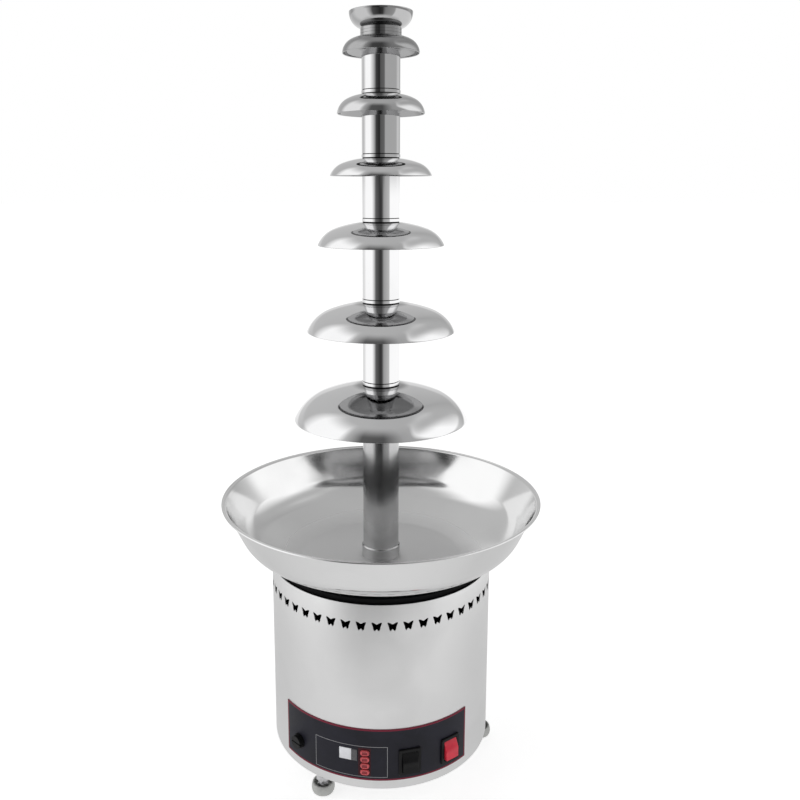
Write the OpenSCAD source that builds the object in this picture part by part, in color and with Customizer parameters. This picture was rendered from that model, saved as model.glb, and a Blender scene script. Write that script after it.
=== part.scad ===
// Chocolate fountain: a stacked tower of dome caps over a heated bowl on a cylindrical base.
// Millimetres, +Z up. The origin is on the floor at the tower's axis, and the control panel faces -Y.

/* [Base] */
// Outer radius of the cylindrical shell
shell_r = 156; // [148:1:175]
// Height of the shell
shell_h = 261; // [245:1:300]
// Sheet of the shell
shell_t = 1.2; // [0.8:0.1:2]
// Width of the flange turned in at the shell's lower edge
flange_w = 22; // [18:1:28]
// Sheet of the base plate and of the deck
plate_t = 1.5; // [1:0.1:2.5]
// Depth of the bowl's underside below the shell's top edge
bowl_drop = 2.6; // [1:0.2:6]
// Height of the deck's turned-up rim
deck_rim_h = 12; // [8:1:14]
// Height of the seat ring's outer top above the bowl's underside
seat_rise = 9; // [4:0.5:12]
// How far the seat ring's inside lies out of the bowl's flat floor
seat_inset = 6; // [4:0.5:14]
// Number of screws under the base plate
base_screw_count = 6; // [3:3:12]
// Radius of a base screw's shank
base_screw_r = 2; // [1.5:0.1:3]
// Number of air slots in the base plate
slot_count = 12; // [6:1:18]
// Width of an air slot
slot_w = 5; // [3:0.5:8]
// Length of an air slot
slot_len = 36; // [20:1:45]

/* [Vents] */
// Number of butterfly vents round the shell
vent_count = 48; // [24:1:56]
// Width of a butterfly over its wings
vent_w = 13.6; // [8:0.1:15]
// Height of a butterfly
vent_h = 12.2; // [7:0.1:14]
// Turn of the first butterfly from the front, towards +X
vent_turn = 2; // [0:0.5:7]
// Depth of the row's centre line below the shell's top edge
vent_drop = 29.5; // [27:0.5:60]

/* [Feet] */
// Height of the shell above the floor
foot_h = 25; // [24:1:40]
// Gap between a foot's stud and the inside of the shell
stud_clear = 1.8; // [1.2:0.1:5]
// Turn of the first foot from the front, towards +X
foot_angle = -28; // [-40:1:40]
// Largest radius of a foot's cup
cup_r = 15.7; // [13:0.1:20]
// Height of a foot's cup
cup_h = 13; // [9:0.5:15]
// Thickness of the cup's floor
cup_floor = 5; // [3:0.5:7]
// Wall of the cup at its mouth
cup_wall = 1.8; // [1.2:0.1:3]
// Radius of the foot's stud
stud_r = 5; // [4:0.5:6]
// How far the stud stands above the base plate
stud_proud = 5; // [3:0.5:5]
// Height of the foot's lock nut
foot_nut_h = 7; // [5:0.5:8]

/* [Panel] */
// Half of the angle that the control panel spans
panel_half_angle = 51; // [49:1:60]
// Height of the panel
panel_h = 74; // [64:1:100]
// Height of the panel's lower edge above the shell's lower edge
panel_lift = 12.5; // [5:0.5:20]
// Sheet of the panel
panel_t = 0.8; // [0.5:0.1:1.5]
// Height of the controls' centre line above the panel's lower edge
control_lift = 26; // [24:0.5:40]
// Turn of the fuse holder from the front, towards +X
fuse_angle = -41; // [-44:0.5:-35]
// Turn of the display
display_angle = -12; // [-13:0.1:-10]
// Turn of the motor switch
motor_switch_angle = 18; // [17:0.5:24]
// Turn of the power switch
power_switch_angle = 40; // [36:0.2:43]

/* [Switches] */
// Width of a rocker
rocker_w = 20.8; // [16:0.2:22]
// Swing radius of a rocker's ends
rocker_r = 13.6; // [8:0.1:14.5]
// Height of a rocker's ridge above its pivot
rocker_ridge = 6; // [5:0.1:7]
// Slope of a rocker's two faces, and its tilt at rest
rocker_tilt = 12; // [8:1:14]
// Depth of a rocker's pivot below the bezel's face
pivot_depth = 2; // [1:0.1:3]
// Radius of a rocker's pivot pins
rocker_pin_r = 1.5; // [1:0.1:2]
// Wall of a switch housing
switch_wall = 2.2; // [1.8:0.1:3]
// Width of the bezel's edge round the housing
bezel_edge = 2.1; // [1.2:0.1:3]
// Thickness of a bezel
bezel_t = 2.6; // [2:0.1:4]
// Depth of a switch housing behind the panel
switch_depth = 24; // [18:1:30]

/* [Display and buttons] */
// Width of the display
display_w = 24.5; // [18:0.5:26]
// Height of the display
display_h = 16.5; // [14:0.5:24]
// Height of the display's centre above the controls' centre line
display_rise = 9.5; // [0:0.5:10]
// Width of an oval button
button_w = 12; // [10:0.2:13]
// Height of an oval button
button_h = 7.3; // [6:0.1:7.6]
// Gap between the flanges of two buttons
button_space = 0.4; // [0.3:0.1:1.5]
// Gap between the display and the buttons
display_gap = 4.3; // [4:0.1:8]
// Height of a button above the panel
button_proud = 2; // [1.5:0.1:4]
// Travel of a button
button_travel = 1; // [0.5:0.1:1.2]
// Radius of a button's stem
button_stem_r = 2; // [1.5:0.1:2.5]
// Depth of the controller
controller_depth = 24; // [16:1:30]
// How far the controller covers the shell beside the window
controller_edge = 4; // [2:0.5:6]
// Room round display and buttons in the shell's window, sideways
window_side = 6; // [3:0.5:7]
// Room above and below the buttons in the shell's window
window_end = 2; // [1:0.5:4]

/* [Fuse holder] */
// Radius of the fuse holder's flange
fuse_flange_r = 10; // [9:0.5:13]
// Thickness of the fuse holder's flange
fuse_flange_t = 2.4; // [1.5:0.1:4]
// Radius of the fuse holder's body
fuse_body_r = 7.5; // [7:0.1:8.5]
// Depth of the fuse holder behind the panel
fuse_depth = 30; // [26:1:40]
// Radius of the fuse cap
fuse_cap_r = 9; // [7:0.1:9]
// Height of the fuse cap
fuse_cap_h = 4.5; // [4:0.5:10]
// Radius of the cap's plug
fuse_plug_r = 5; // [4:0.1:5.5]
// Length of the cap's plug
fuse_plug_len = 20; // [14:1:22]
// Width of the screwdriver slot in the cap
fuse_slot_w = 1.8; // [1.2:0.1:3]

/* [Cord gland] */
// Height of the gland above the shell's lower edge
gland_lift = 30; // [20:1:60]
// Radius of the gland's bore
gland_bore_r = 4; // [3:0.1:5]
// Radius of the gland's thread
gland_thread_r = 8; // [7:0.1:9]
// Radius of the gland's hexagons over their corners
gland_hex_r = 12.5; // [11:0.1:15]
// Length of the gland outside the shell
gland_out = 18; // [14:1:26]
// Length of the gland inside the shell
gland_in = 16; // [12:1:24]
// Thickness of the gland's nut
gland_nut_t = 6; // [4:0.5:8]

/* [Bowl] */
// Radius of the bowl's flat floor
floor_r = 112; // [106:1:114]
// Radius of the turn from the floor to the apron, outside
ease_r = 20; // [10:1:30]
// Slope of the apron, which drains to the flat floor
apron_slope = 22; // [16:0.5:26]
// Width of the apron, measured level
apron_w = 50.5; // [40:0.5:60]
// Radius of the bend from the apron to the wall, outside
bend_r = 56; // [40:1:70]
// Slope of the bowl's wall
wall_slope = 63.5; // [55:0.5:75]
// Height of the wall between the bend and the lip
wall_h = 39.8; // [25:0.1:50]
// Sheet of the bowl
bowl_t = 1.2; // [0.8:0.1:2]
// Radius of the turn from wall to lip
lip_turn_r = 3; // [2:0.5:6]
// Width of the lip from its turn to its edge
lip_w = 3; // [2.5:0.5:12]
// Radius of the rolled bead at the lip's edge
bead_r = 1.4; // [1.2:0.1:2.5]
// Radius of a boss under the floor
boss_r = 6; // [5:0.5:8]
// Radius of the bolts that hold the bowl
bowl_bolt_r = 3; // [2:0.5:4]
// Radius of the pins that centre the tower
locator_r = 3; // [2:0.1:3.2]
// Height of the pins that centre the tower
locator_h = 10; // [6:0.5:14]

/* [Heater] */
// Radius of the heating ring
heater_ring_r = 72; // [68:0.5:78]
// Diameter of the heating tube
heater_d = 8; // [6:0.5:9]
// Angle that the heating ring spans
heater_span = 320; // [280:5:330]
// Thickness of the clamp under the heating ring
clamp_t = 1.3; // [1:0.1:2]
// Edge of the clamp beyond the heater screws' bosses
clamp_edge = 1; // [0.5:0.1:3]
// Radius of the heater screws
heater_screw_r = 1.6; // [1.2:0.1:2]
// Height of the heads of the heater and motor screws
head_h = 2.5; // [2:0.1:3.5]
// Room between the heater screws and the deck
heater_room = 1.9; // [1:0.1:6]
// Radius of the temperature probe
probe_r = 4; // [3:0.1:4.5]
// Gap between the temperature probe and the heater's clamp
probe_gap = 3.6; // [1:0.2:5]

/* [Drive] */
// Radius of the drive shaft
shaft_r = 6; // [5:0.1:7]
// Length of the shaft in the auger's socket
socket_depth = 26; // [20:1:34]
// Radius of the drive pin
pin_r = 2; // [1.5:0.1:2.5]
// Height of the drive pin above the auger's lower end
pin_rise = 8; // [5:0.5:12]
// Radius of the bush in the bowl's floor
bush_r = 11; // [9:0.5:12]
// Thickness of the bush's flange
bush_flange_t = 3; // [2:0.1:4]
// Length of the bush below the bowl's floor
bush_len = 10.5; // [8:0.5:14]
// Height of the bush's nut
bush_nut_h = 6; // [4:0.5:7]
// Radius of the shaft seal
seal_r = 12; // [10:0.5:14]
// Height of the shaft seal
seal_h = 3.8; // [2:0.1:5]
// Radius of the gearbox
gearbox_r = 45; // [40:1:52]
// Height of the gearbox
gearbox_h = 43; // [30:1:60]
// Radius of the gearbox's output boss
output_boss_r = 14; // [11:0.5:16]
// Height of the output boss above the gearbox
output_boss_h = 3; // [2:0.1:6]
// Radius of the motor
motor_r = 38; // [30:1:40]
// Length of the motor
motor_len = 95; // [70:1:110]
// How far the motor's end bell steps in from the motor
bell_step = 5; // [2:0.5:10]
// Height of the motor's end bell
bell_h = 9; // [5:0.5:14]
// Distance of the motor screws from the gearbox's edge
motor_screw_edge = 11; // [6:0.5:14]
// Radius of the motor screws
motor_screw_r = 2.5; // [2:0.1:3]

/* [Auger] */
// Radius of the auger's core
core_r = 10; // [9:0.5:12]
// Gap between the auger's flight and the caps' sleeves
flight_gap = 1; // [0.7:0.1:4]
// Pitch of the flight
flight_pitch = 44; // [30:1:60]
// Thickness of the flight, along the axis
flight_t = 2; // [1.5:0.1:3]
// Depth of the auger's tip below the crown's rim
auger_drop = 24; // [20:1:60]
// Height of the auger's conical tip
tip_h = 8; // [4:0.5:14]

/* [Tower] */
// Outer radius of the tubes
tube_r = 25.4; // [25:0.1:27]
// Wall of the tubes
tube_t = 1.2; // [0.8:0.1:1.4]
// Sheet of the caps
cap_t = 1.2; // [0.8:0.1:2]
// Wall of the sleeve through a cap
sleeve_t = 1; // [0.6:0.1:1.2]
// Length of a sleeve above and below its cap
sleeve_len = 10; // [6:0.5:11]
// How far the collar at a tube's lower end stands out
collar_out = 1.6; // [0.8:0.1:2.4]
// Height of the collar
collar_h = 6; // [4:0.5:9]
// How far the tower's foot stands out of the lowest tube
tower_foot_out = 2.3; // [1.5:0.1:4]
// Height of the tower's foot
tower_foot_h = 17; // [14:0.5:24]
// Width of an intake arch in the tower's foot
intake_w = 16; // [10:0.5:18]
// Height of an intake arch
intake_h = 11; // [9.5:0.5:13]
// Rim radius of the first cap, under the crown
cap_1_r = 50.6; // [46:0.1:56]
// Rim radius of the second cap
cap_2_r = 58.1; // [52:0.1:64]
// Rim radius of the third cap
cap_3_r = 68; // [60:0.1:76]
// Rim radius of the fourth cap
cap_4_r = 85.8; // [76:0.1:94]
// Rim radius of the fifth cap
cap_5_r = 101.8; // [90:0.1:112]
// Rim radius of the sixth cap, over the bowl
cap_6_r = 120.6; // [108:0.1:134]
// Height of the first cap
cap_1_h = 20; // [14:0.5:24]
// Height of the second cap
cap_2_h = 23.8; // [18:0.1:28]
// Height of the third cap
cap_3_h = 21.5; // [18:0.5:30]
// Height of the fourth cap
cap_4_h = 29.6; // [22:0.1:38]
// Height of the fifth cap
cap_5_h = 37.6; // [28:0.1:46]
// Height of the sixth cap
cap_6_h = 47; // [36:0.5:58]
// Length of the first tube, under the first cap
tube_1_len = 71.3; // [60:0.1:90]
// Length of the second tube
tube_2_len = 80.7; // [66:0.1:100]
// Length of the third tube
tube_3_len = 82.8; // [66:0.1:100]
// Length of the fourth tube
tube_4_len = 107.9; // [90:0.1:130]
// Length of the fifth tube
tube_5_len = 113.8; // [90:0.1:140]
// Length of the sixth tube, which stands in the bowl
tube_6_len = 250.4; // [220:0.1:300]

/* [Crown] */
// Outer radius of the crown's rim
crown_r = 41.5; // [37:0.1:48]
// Height of the crown's cup
cup_rise = 19; // [16:0.5:26]
// Height of the crown's neck
neck_h = 12.3; // [11:0.1:18]
// How far the neck stands out of the tube
neck_out = 1.6; // [1:0.1:2.4]
// Sheet of the crown's cup
crown_t = 1.2; // [0.8:0.1:2]
// Flare of the cup's upper edge
crown_flare = 0.5; // [0:0.1:1.5]
// Width of the flat underside between the neck and the cup's turned-up wall
crown_floor_w = 1; // [0.5:0.1:4]
// Least height of the straight part of the cup's wall
crown_edge_h = 1; // [0.5:0.5:6]

/* [Clearances] */
// Gap between curved faces, and round pieces that pass through a hole
fit_gap = 0.3; // [0.2:0.05:0.5]
// Radial gap of a running shaft
run_gap = 0.05; // [0.02:0.01:0.09]
// Radial gap of a slip fit in the tower, and of pieces screwed together
slip_gap = 0.2; // [0.1:0.05:0.3]
// Layer of glue under the panel, and seats of clipped pieces
seat_gap = 0.1; // [0.05:0.05:0.2]

/* [Hidden] */
$fn = 128;
// Slack by which a cutting shape passes through what it cuts, or a joined one reaches into its neighbour
over = 1;
// Room past a screw's tip in its blind hole
tip_room = 1;
// Depth inside the shell's wall from which the holes for the controls and the gland are cut
cut_depth = 5;
tier_count = 6;
button_count = 4;
arc_steps = 12;
hex_sides = 6;
foot_count = 3;
foot_step = 360 / foot_count;

// Heights, from the floor up
shell_top = foot_h + shell_h;
flange_top = foot_h + shell_t;
plate_top = flange_top + plate_t;
bowl_z = shell_top - bowl_drop;
floor_z = bowl_z + bowl_t;
heater_z = bowl_z - seat_gap - heater_d / 2;
clamp_top = bowl_z - heater_d - 2 * seat_gap;
clamp_z = clamp_top - clamp_t;
// The deck lies under the heater's screws and leaves the bush clear of the output boss
heater_stack = bowl_z - clamp_z + head_h + heater_room;
bush_stack = bush_len + fit_gap + output_boss_h - plate_t;
deck_top = bowl_z - max(heater_stack, bush_stack);
deck_z = deck_top - plate_t;
vent_z = shell_top - vent_drop;
panel_z = foot_h + panel_lift;
control_z = panel_z + control_lift;
display_z = control_z + display_rise;
gland_z = foot_h + gland_lift;

// Radii round the shell
shell_in_r = shell_r - shell_t;
deck_r = shell_in_r - fit_gap;
seat_out_r = deck_r - plate_t - fit_gap;
seat_in_r = floor_r + seat_inset;
panel_in_r = shell_r + seat_gap;
panel_r = panel_in_r + panel_t;
foot_dist = shell_in_r - stud_clear - stud_r;
base_screw_dist = shell_r - flange_w * 3 / 4;
base_screw_turn = foot_angle + 180 / base_screw_count;
base_screw_head_r = base_screw_r * 2;
base_screw_head_h = base_screw_r;
base_screw_len = plate_t + shell_t + 2 * base_screw_r;

// Foot
// Outline of a foot's cup from its base to its mouth, in shares of its radius and height
cup_shape = [[0.86, 0], [0.97, 0.2], [1, 0.45], [0.97, 0.75], [0.9, 1]];
cup_mouth_r = cup_r * cup_shape[len(cup_shape) - 1][0];
cup_in_r = cup_mouth_r - cup_wall;
foot_nut_r = stud_r * 1.95;
stud_hex_r = stud_r * 1.6;
stud_hex_h = cup_h - cup_floor;
stud_len = plate_top + stud_proud - cup_floor;

// Terminal block on the base plate
terminal_block_size = [44, 18, 20];
terminal_block_y = 40;

// Switches
rocker_gap = fit_gap;
switch_hole_w = rocker_w + 2 * rocker_gap;
switch_hole_h = 2 * (rocker_r + rocker_gap);
switch_body_w = switch_hole_w + 2 * switch_wall;
switch_body_h = switch_hole_h + 2 * switch_wall;
rocker_pivot = bezel_t - pivot_depth;
rocker_half_h = rocker_r * 0.94;
rocker_end = rocker_ridge - rocker_half_h * tan(rocker_tilt);
rocker_back = rocker_r / 2;
rocker_pin_len = switch_hole_w + 1.2 * switch_wall;
rocker_bore_len = rocker_pin_len + 2 * seat_gap;
bezel_w = switch_body_w + 2 * bezel_edge;
bezel_h = switch_body_h + 2 * bezel_edge;

// Display and buttons
button_edge = 0.8;
button_flange_t = 0.8;
button_pitch = button_h + 2 * button_edge + button_space;
button_side = display_w / 2 + display_gap + button_w / 2;
button_angle = display_angle + arc_angle(button_side, panel_r);
group_end = button_side + button_w / 2 + button_edge;
controller_angle = display_angle + arc_angle((group_end - display_w / 2) / 2, panel_r);
window_w = group_end + display_w / 2 + 2 * window_side;
window_h = (button_count - 1) * button_pitch + button_h + 2 * (button_edge + window_end);
controller_w = window_w + 2 * controller_edge;
controller_h = window_h + 2 * controller_edge;
controller_r = sqrt(pow(shell_in_r - fit_gap, 2) - pow(controller_w / 2, 2));
button_flange_out = panel_in_r - sagitta(panel_in_r, button_w / 2 + button_edge) - seat_gap;
button_turn = button_angle - controller_angle;
button_stem_end = face_dist(button_turn, button_stem_r) + button_travel + fit_gap;
display_back = face_dist(controller_angle - display_angle, display_w / 2) + seat_gap;
display_proud = 0.5;

// Gland
gland_nut_face = shell_t + sagitta(shell_in_r, gland_hex_r) + slip_gap;
gland_hex_h = gland_out / 3;
gland_turn = 180;
gland_dome_r = gland_hex_r * 0.84;
gland_mouth_r = (gland_bore_r + gland_thread_r) * 0.535;

// Bowl
ease_c_z = bowl_z + ease_r;
bend_c_r = floor_r + apron_w + (ease_r - bend_r) * sin(apron_slope);
bend_c_z = ease_c_z + apron_w * tan(apron_slope) - (ease_r - bend_r) * cos(apron_slope);
wall_top_r = bend_c_r + bend_r * sin(wall_slope) + wall_h / tan(wall_slope);
wall_top_z = bend_c_z - bend_r * cos(wall_slope) + wall_h;
lip_c_r = wall_top_r + lip_turn_r * sin(wall_slope);
lip_c_z = wall_top_z - lip_turn_r * cos(wall_slope);
lip_z = lip_c_z + lip_turn_r;
rim_r = lip_c_r + lip_w;
bowl_bolt_edge = 2;
bowl_bolt_dist = floor_r - boss_r - bowl_bolt_edge;
bowl_bolt_grip = (bowl_z - deck_top) * 0.8;
bowl_bolt_len = plate_t + bowl_bolt_grip - tip_room;
bowl_bolt_head_r = bowl_bolt_r * 1.9;
bowl_bolt_head_h = bowl_bolt_r * 5 / 3;
bolt_count = 4;
bolt_turn = 45;
heater_boss_r = heater_screw_r * 2;
heater_boss_gap = 1;
heater_boss_dist = heater_ring_r - heater_d / 2 - heater_boss_r - heater_boss_gap;
heater_screw_count = 3;
heater_screw_turn = 0;
probe_turn = 190;
clamp_w = heater_ring_r - heater_boss_dist + heater_boss_r + clamp_edge;
probe_dist = heater_ring_r + clamp_w + probe_gap + probe_r;
heater_screw_grip = heater_d * 0.8;
heater_head_r = heater_screw_r * 2.2;
terminal_r = heater_d * 0.35;
terminal_drop = 12;
clamp_setback = 15;

// Drive
bush_top = floor_z + bush_flange_t;
bush_bottom = bowl_z - bush_len;
bush_nut_r = bush_r * 1.65;
seal_top = bush_top + seal_h;
core_z = seal_top + 2 * fit_gap;
pin_z = core_z + pin_rise;
shaft_top = core_z + socket_depth;
shaft_bottom = deck_z - gearbox_h / 2;
pin_inset = 0.6;
drive_pin_len = 2 * (core_r - pin_inset);
tip_share = 0.4;
motor_screw_len = gearbox_h / 4 + plate_t;
motor_head_r = motor_screw_r * 1.8;
motor_screw_dist = gearbox_r - motor_screw_edge;
bell_r = motor_r - bell_step;

// Tower
tube_in_r = tube_r - tube_t;
sleeve_r = tube_in_r - slip_gap;
sleeve_in_r = sleeve_r - sleeve_t;
hub_r = tube_r + collar_out + slip_gap;
cap_rs = [cap_1_r, cap_2_r, cap_3_r, cap_4_r, cap_5_r, cap_6_r];
cap_hs = [cap_1_h, cap_2_h, cap_3_h, cap_4_h, cap_5_h, cap_6_h];
tube_lens = [tube_1_len, tube_2_len, tube_3_len, tube_4_len, tube_5_len, tube_6_len];
// Collar: share of its height in the band, height of its shoulder, and stand-out above the band
collar_band = 0.2;
collar_shoulder = 0.88;
collar_step = 0.8;
// Dome: slope at the hub, share of the width under the upper arc, and its end turn as a share of the chord's
hub_slope = 6;
shoulder_share = 0.6;
shoulder_turn = 0.75;
neck_r = tube_r + neck_out;
crown_z = cap_top(1);
crown_cup_z = crown_z + neck_h;
crown_top = crown_cup_z + cup_rise;
crown_wall_r = crown_r - crown_flare;
crown_corner_r = min(crown_wall_r - neck_r - crown_floor_w, cup_rise - crown_edge_h);
crown_corner_c = crown_wall_r - crown_corner_r;
neck_ring = 0.5;
neck_ring_shares = [0.25, 0.6];
// Intakes at both sides of the tower's foot, and locating pins clear of them
intake_count = 2;
intake_turn = 90;
locator_count = 2 * intake_count;
locator_turn = 180 / locator_count;
locator_dist = tube_in_r - locator_r - fit_gap;
bush_flange_r = locator_dist - locator_r - 3 * fit_gap;

// Auger
core_top = crown_top - auger_drop;
flight_r = sleeve_in_r - flight_gap;
flight_z = max(floor_z + locator_h, seal_top) + 4 * fit_gap;
flight_rise = core_top - tip_h - flight_t - flight_z;
flight_steps = 20;
flight_turns = flight_rise / flight_pitch;
flight_rings = ceil(flight_turns * flight_steps);
flight_in_r = (core_r + run_gap) / cos(180 / flight_steps);

// How far an arc of radius r falls away at a distance x from its middle
function sagitta(r, x) = r - sqrt(r * r - x * x);

// Angle that an arc of length x takes at radius r
function arc_angle(x, r) = x / r * 180 / PI;

// Distance of the controller's front face under a turn from its middle, at its highest over half width x
function face_dist(turn, x) = controller_r / cos(turn) + x * tan(turn);

// Points of an arc about (c_r, c_z), with angles from straight down towards larger radii;
// first is 1 where the arc goes on from another that ends at the same point
function arc_down(c_r, c_z, r, from, to, first = 0) = [
    for (i = [first : arc_steps])
        let (a = from + (to - from) * i / arc_steps)
        [c_r + r * sin(a), c_z - r * cos(a)]
];

// The same, with angles from straight up towards larger radii
function arc_up(c_r, c_z, r, from, to, first = 0) = [
    for (i = [first : arc_steps])
        let (a = from + (to - from) * i / arc_steps)
        [c_r + r * sin(a), c_z + r * cos(a)]
];

// Height of the top of cap i, stacked up from the bowl's floor
function cap_top(i) =
    (i == tier_count ? floor_z : cap_top(i + 1)) + tube_lens[i - 1] + cap_t;

// Height of the lower end of tube i
function tube_z(i) = i == tier_count ? floor_z : cap_top(i + 1);

// Turn of foot i from the front
function foot_turn(i) = foot_angle + (i - 1) * foot_step;

// Height of button i, counted from the top
function button_z(i) = control_z + ((button_count + 1) / 2 - i) * button_pitch;

// Places children on a cylinder round the axis: X along it, Y up, Z outwards
module on_shell(angle, z, r) {
    rotate([0, 0, angle])
        translate([0, -r, z])
            rotate([90, 0, 0])
                children();
}

// Repeats children round the axis
module around(count, start) {
    for (i = [0 : count - 1])
        rotate([0, 0, start + i * 360 / count])
            children();
}

module pipe(r, in_r, h) {
    difference() {
        cylinder(r = r, h = h);
        translate([0, 0, -over])
            cylinder(r = in_r, h = h + 2 * over);
    }
}

// Oval outline with round ends
module oval(w, h) {
    square([w - h, h], center = true);
    for (side = [-1, 1])
        translate([side * (w - h) / 2, 0])
            circle(d = h);
}

// Right half of a butterfly, from the head round the wings to the tail, in half widths and half heights
wing = [
    [0.08, 0.56], [0.34, 0.74], [0.66, 0.93], [1, 1], [0.95, 0.62], [0.82, 0.24], [0.7, -0.12],
    [0.68, -0.46], [0.52, -0.9], [0.32, -1], [0.13, -0.62]
];

module butterfly() {
    last = len(wing) - 1;
    right = [for (p = wing) [p[0] * vent_w / 2, p[1] * vent_h / 2]];
    left = [for (i = [last : -1 : 0]) [-right[i][0], right[i][1]]];
    polygon(concat(right, left));
}

// Dome cap of tier i: two tangent arcs from the flat hub to the rim, on a sleeve
module tier_cap(i) {
    top = cap_top(i);
    w = cap_rs[i - 1] - hub_r;
    h = cap_hs[i - 1];
    turn_1 = shoulder_turn * atan2(h, w);
    w_1 = shoulder_share * w;
    r_1 = w_1 / (sin(turn_1) - sin(hub_slope));
    h_1 = r_1 * (cos(hub_slope) - cos(turn_1));
    turn_2 = 2 * atan2(h - h_1, w - w_1) - turn_1;
    r_2 = (w - w_1) / (sin(turn_2) - sin(turn_1));
    c_1 = [hub_r - r_1 * sin(hub_slope), top - r_1 * cos(hub_slope)];
    c_2 = [hub_r + w_1 - r_2 * sin(turn_1), top - h_1 - r_2 * cos(turn_1)];
    color("gainsboro")
        rotate_extrude()
            polygon(concat(
                [[sleeve_in_r, top + sleeve_len], [sleeve_r, top + sleeve_len], [sleeve_r, top]],
                arc_up(c_1[0], c_1[1], r_1, hub_slope, turn_1),
                arc_up(c_2[0], c_2[1], r_2, turn_1, turn_2, 1),
                arc_up(c_2[0], c_2[1], r_2 - cap_t, turn_2, turn_1),
                arc_up(c_1[0], c_1[1], r_1 - cap_t, turn_1, hub_slope, 1),
                [[sleeve_r, top - cap_t], [sleeve_r, top - cap_t - sleeve_len]],
                [[sleeve_in_r, top - cap_t - sleeve_len]]
            ));
}

// Tube section of tier i, with a collar at its lower end; the lowest has a wider foot with intakes
module tier_tube(i) {
    lowest = i == tier_count;
    out = lowest ? tower_foot_out : collar_out;
    h = lowest ? tower_foot_h : collar_h;
    z = tube_z(i);
    color("silver")
        difference() {
            rotate_extrude()
                polygon([
                    [tube_in_r, z],
                    [tube_r + out, z],
                    [tube_r + out, z + h * collar_band],
                    [tube_r + out * collar_step, z + h * (collar_band + 1 - collar_shoulder)],
                    [tube_r + out * collar_step, z + h * collar_shoulder],
                    [tube_r, z + h],
                    [tube_r, z + tube_lens[i - 1]],
                    [tube_in_r, z + tube_lens[i - 1]]
                ]);
            if (lowest)
                around(intake_count, intake_turn)
                    on_shell(0, z, tube_in_r - over)
                        linear_extrude(tube_t + out + 2 * over)
                            intake_arch();
        }
}

// Arched opening, its foot on the X axis
module intake_arch() {
    rise = intake_h - intake_w / 2;
    translate([-intake_w / 2, -over])
        square([intake_w, rise + over]);
    translate([0, rise])
        circle(d = intake_w);
}

module crown() {
    color("gainsboro")
        difference() {
            rotate_extrude()
                polygon(concat(
                    [[tube_in_r, crown_z], [neck_r, crown_z], [neck_r, crown_cup_z]],
                    arc_down(crown_corner_c, crown_cup_z + crown_corner_r, crown_corner_r, 0, 90),
                    [[crown_r, crown_top], [crown_r - crown_t, crown_top]],
                    arc_down(crown_corner_c, crown_cup_z + crown_corner_r, crown_corner_r - crown_t, 90, 0),
                    [[tube_in_r, crown_cup_z + crown_t]]
                ));
            for (share = neck_ring_shares)
                translate([0, 0, crown_z + neck_h * share])
                    pipe(neck_r + over, neck_r - neck_ring, 2 * neck_ring);
        }
}

module auger_core() {
    color("silver")
        difference() {
            rotate_extrude()
                polygon([
                    [0, core_z], [core_r, core_z], [core_r, core_top - tip_h],
                    [core_r * tip_share, core_top], [0, core_top]
                ]);
            translate([0, 0, core_z - over])
                cylinder(r = shaft_r + run_gap, h = socket_depth + 2 * over);
            translate([-core_r - over, -pin_r - seat_gap, core_z - over])
                cube([2 * (core_r + over), 2 * (pin_r + seat_gap), pin_rise + pin_r + seat_gap + over]);
        }
}

// Helical blade: a ring of four corners at each step, joined to the next ring, with flat ends
module auger_flight() {
    corners = 4;
    points = [
        for (i = [0 : flight_rings])
            let (a = 360 * flight_turns * i / flight_rings, z = flight_z + flight_rise * i / flight_rings)
            for (q = [[flight_in_r, 0], [flight_r, 0], [flight_r, flight_t], [flight_in_r, flight_t]])
                [q[0] * cos(a), q[0] * sin(a), z + q[1]]
    ];
    last = corners * flight_rings;
    sides = [
        for (i = [0 : flight_rings - 1])
            for (j = [0 : corners - 1])
                let (a = corners * i + j, b = corners * i + (j + 1) % corners)
                for (face = [[a, a + corners, b], [b, a + corners, b + corners]])
                    face
    ];
    ends = [[0, 1, 2], [0, 2, 3], [last + 2, last + 1, last], [last + 3, last + 2, last]];
    color("silver")
        polyhedron(points = points, faces = concat(sides, ends));
}

module drive_shaft() {
    color("silver")
        difference() {
            translate([0, 0, shaft_bottom])
                cylinder(r = shaft_r, h = shaft_top - shaft_bottom);
            translate([0, 0, pin_z])
                rotate([0, 90, 0])
                    cylinder(r = pin_r + run_gap, h = 2 * shaft_r + 2 * over, center = true);
        }
}

module drive_pin() {
    color("silver")
        translate([0, 0, pin_z])
            rotate([0, 90, 0])
                cylinder(r = pin_r, h = drive_pin_len, center = true);
}

// Section of the bowl: flat floor, sloping apron, bend, wall, turned-out lip with a rolled edge
module bowl_section() {
    polygon(concat(
        [[bush_r + slip_gap, floor_z], [bush_r + slip_gap, bowl_z]],
        arc_down(floor_r, ease_c_z, ease_r, 0, apron_slope),
        arc_down(bend_c_r, bend_c_z, bend_r, apron_slope, wall_slope),
        arc_up(lip_c_r, lip_c_z, lip_turn_r, -wall_slope, 0),
        [[rim_r - bead_r, lip_z], [rim_r - bead_r, lip_z + bowl_t]],
        arc_up(lip_c_r, lip_c_z, lip_turn_r + bowl_t, 0, -wall_slope),
        arc_down(bend_c_r, bend_c_z, bend_r - bowl_t, wall_slope, apron_slope),
        arc_down(floor_r, ease_c_z, ease_r - bowl_t, apron_slope, 0)
    ));
    translate([rim_r - bead_r, lip_z + bowl_t / 2])
        circle(r = bead_r);
}

// Section of the room that the bowl takes above its underside, with a gap below
module bowl_room(gap) {
    polygon(concat(
        arc_down(floor_r, ease_c_z, ease_r + gap, 0, apron_slope),
        arc_down(bend_c_r, bend_c_z, bend_r + gap, apron_slope, wall_slope),
        [[wall_top_r, wall_top_z], [floor_r, wall_top_z]]
    ));
}

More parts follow.
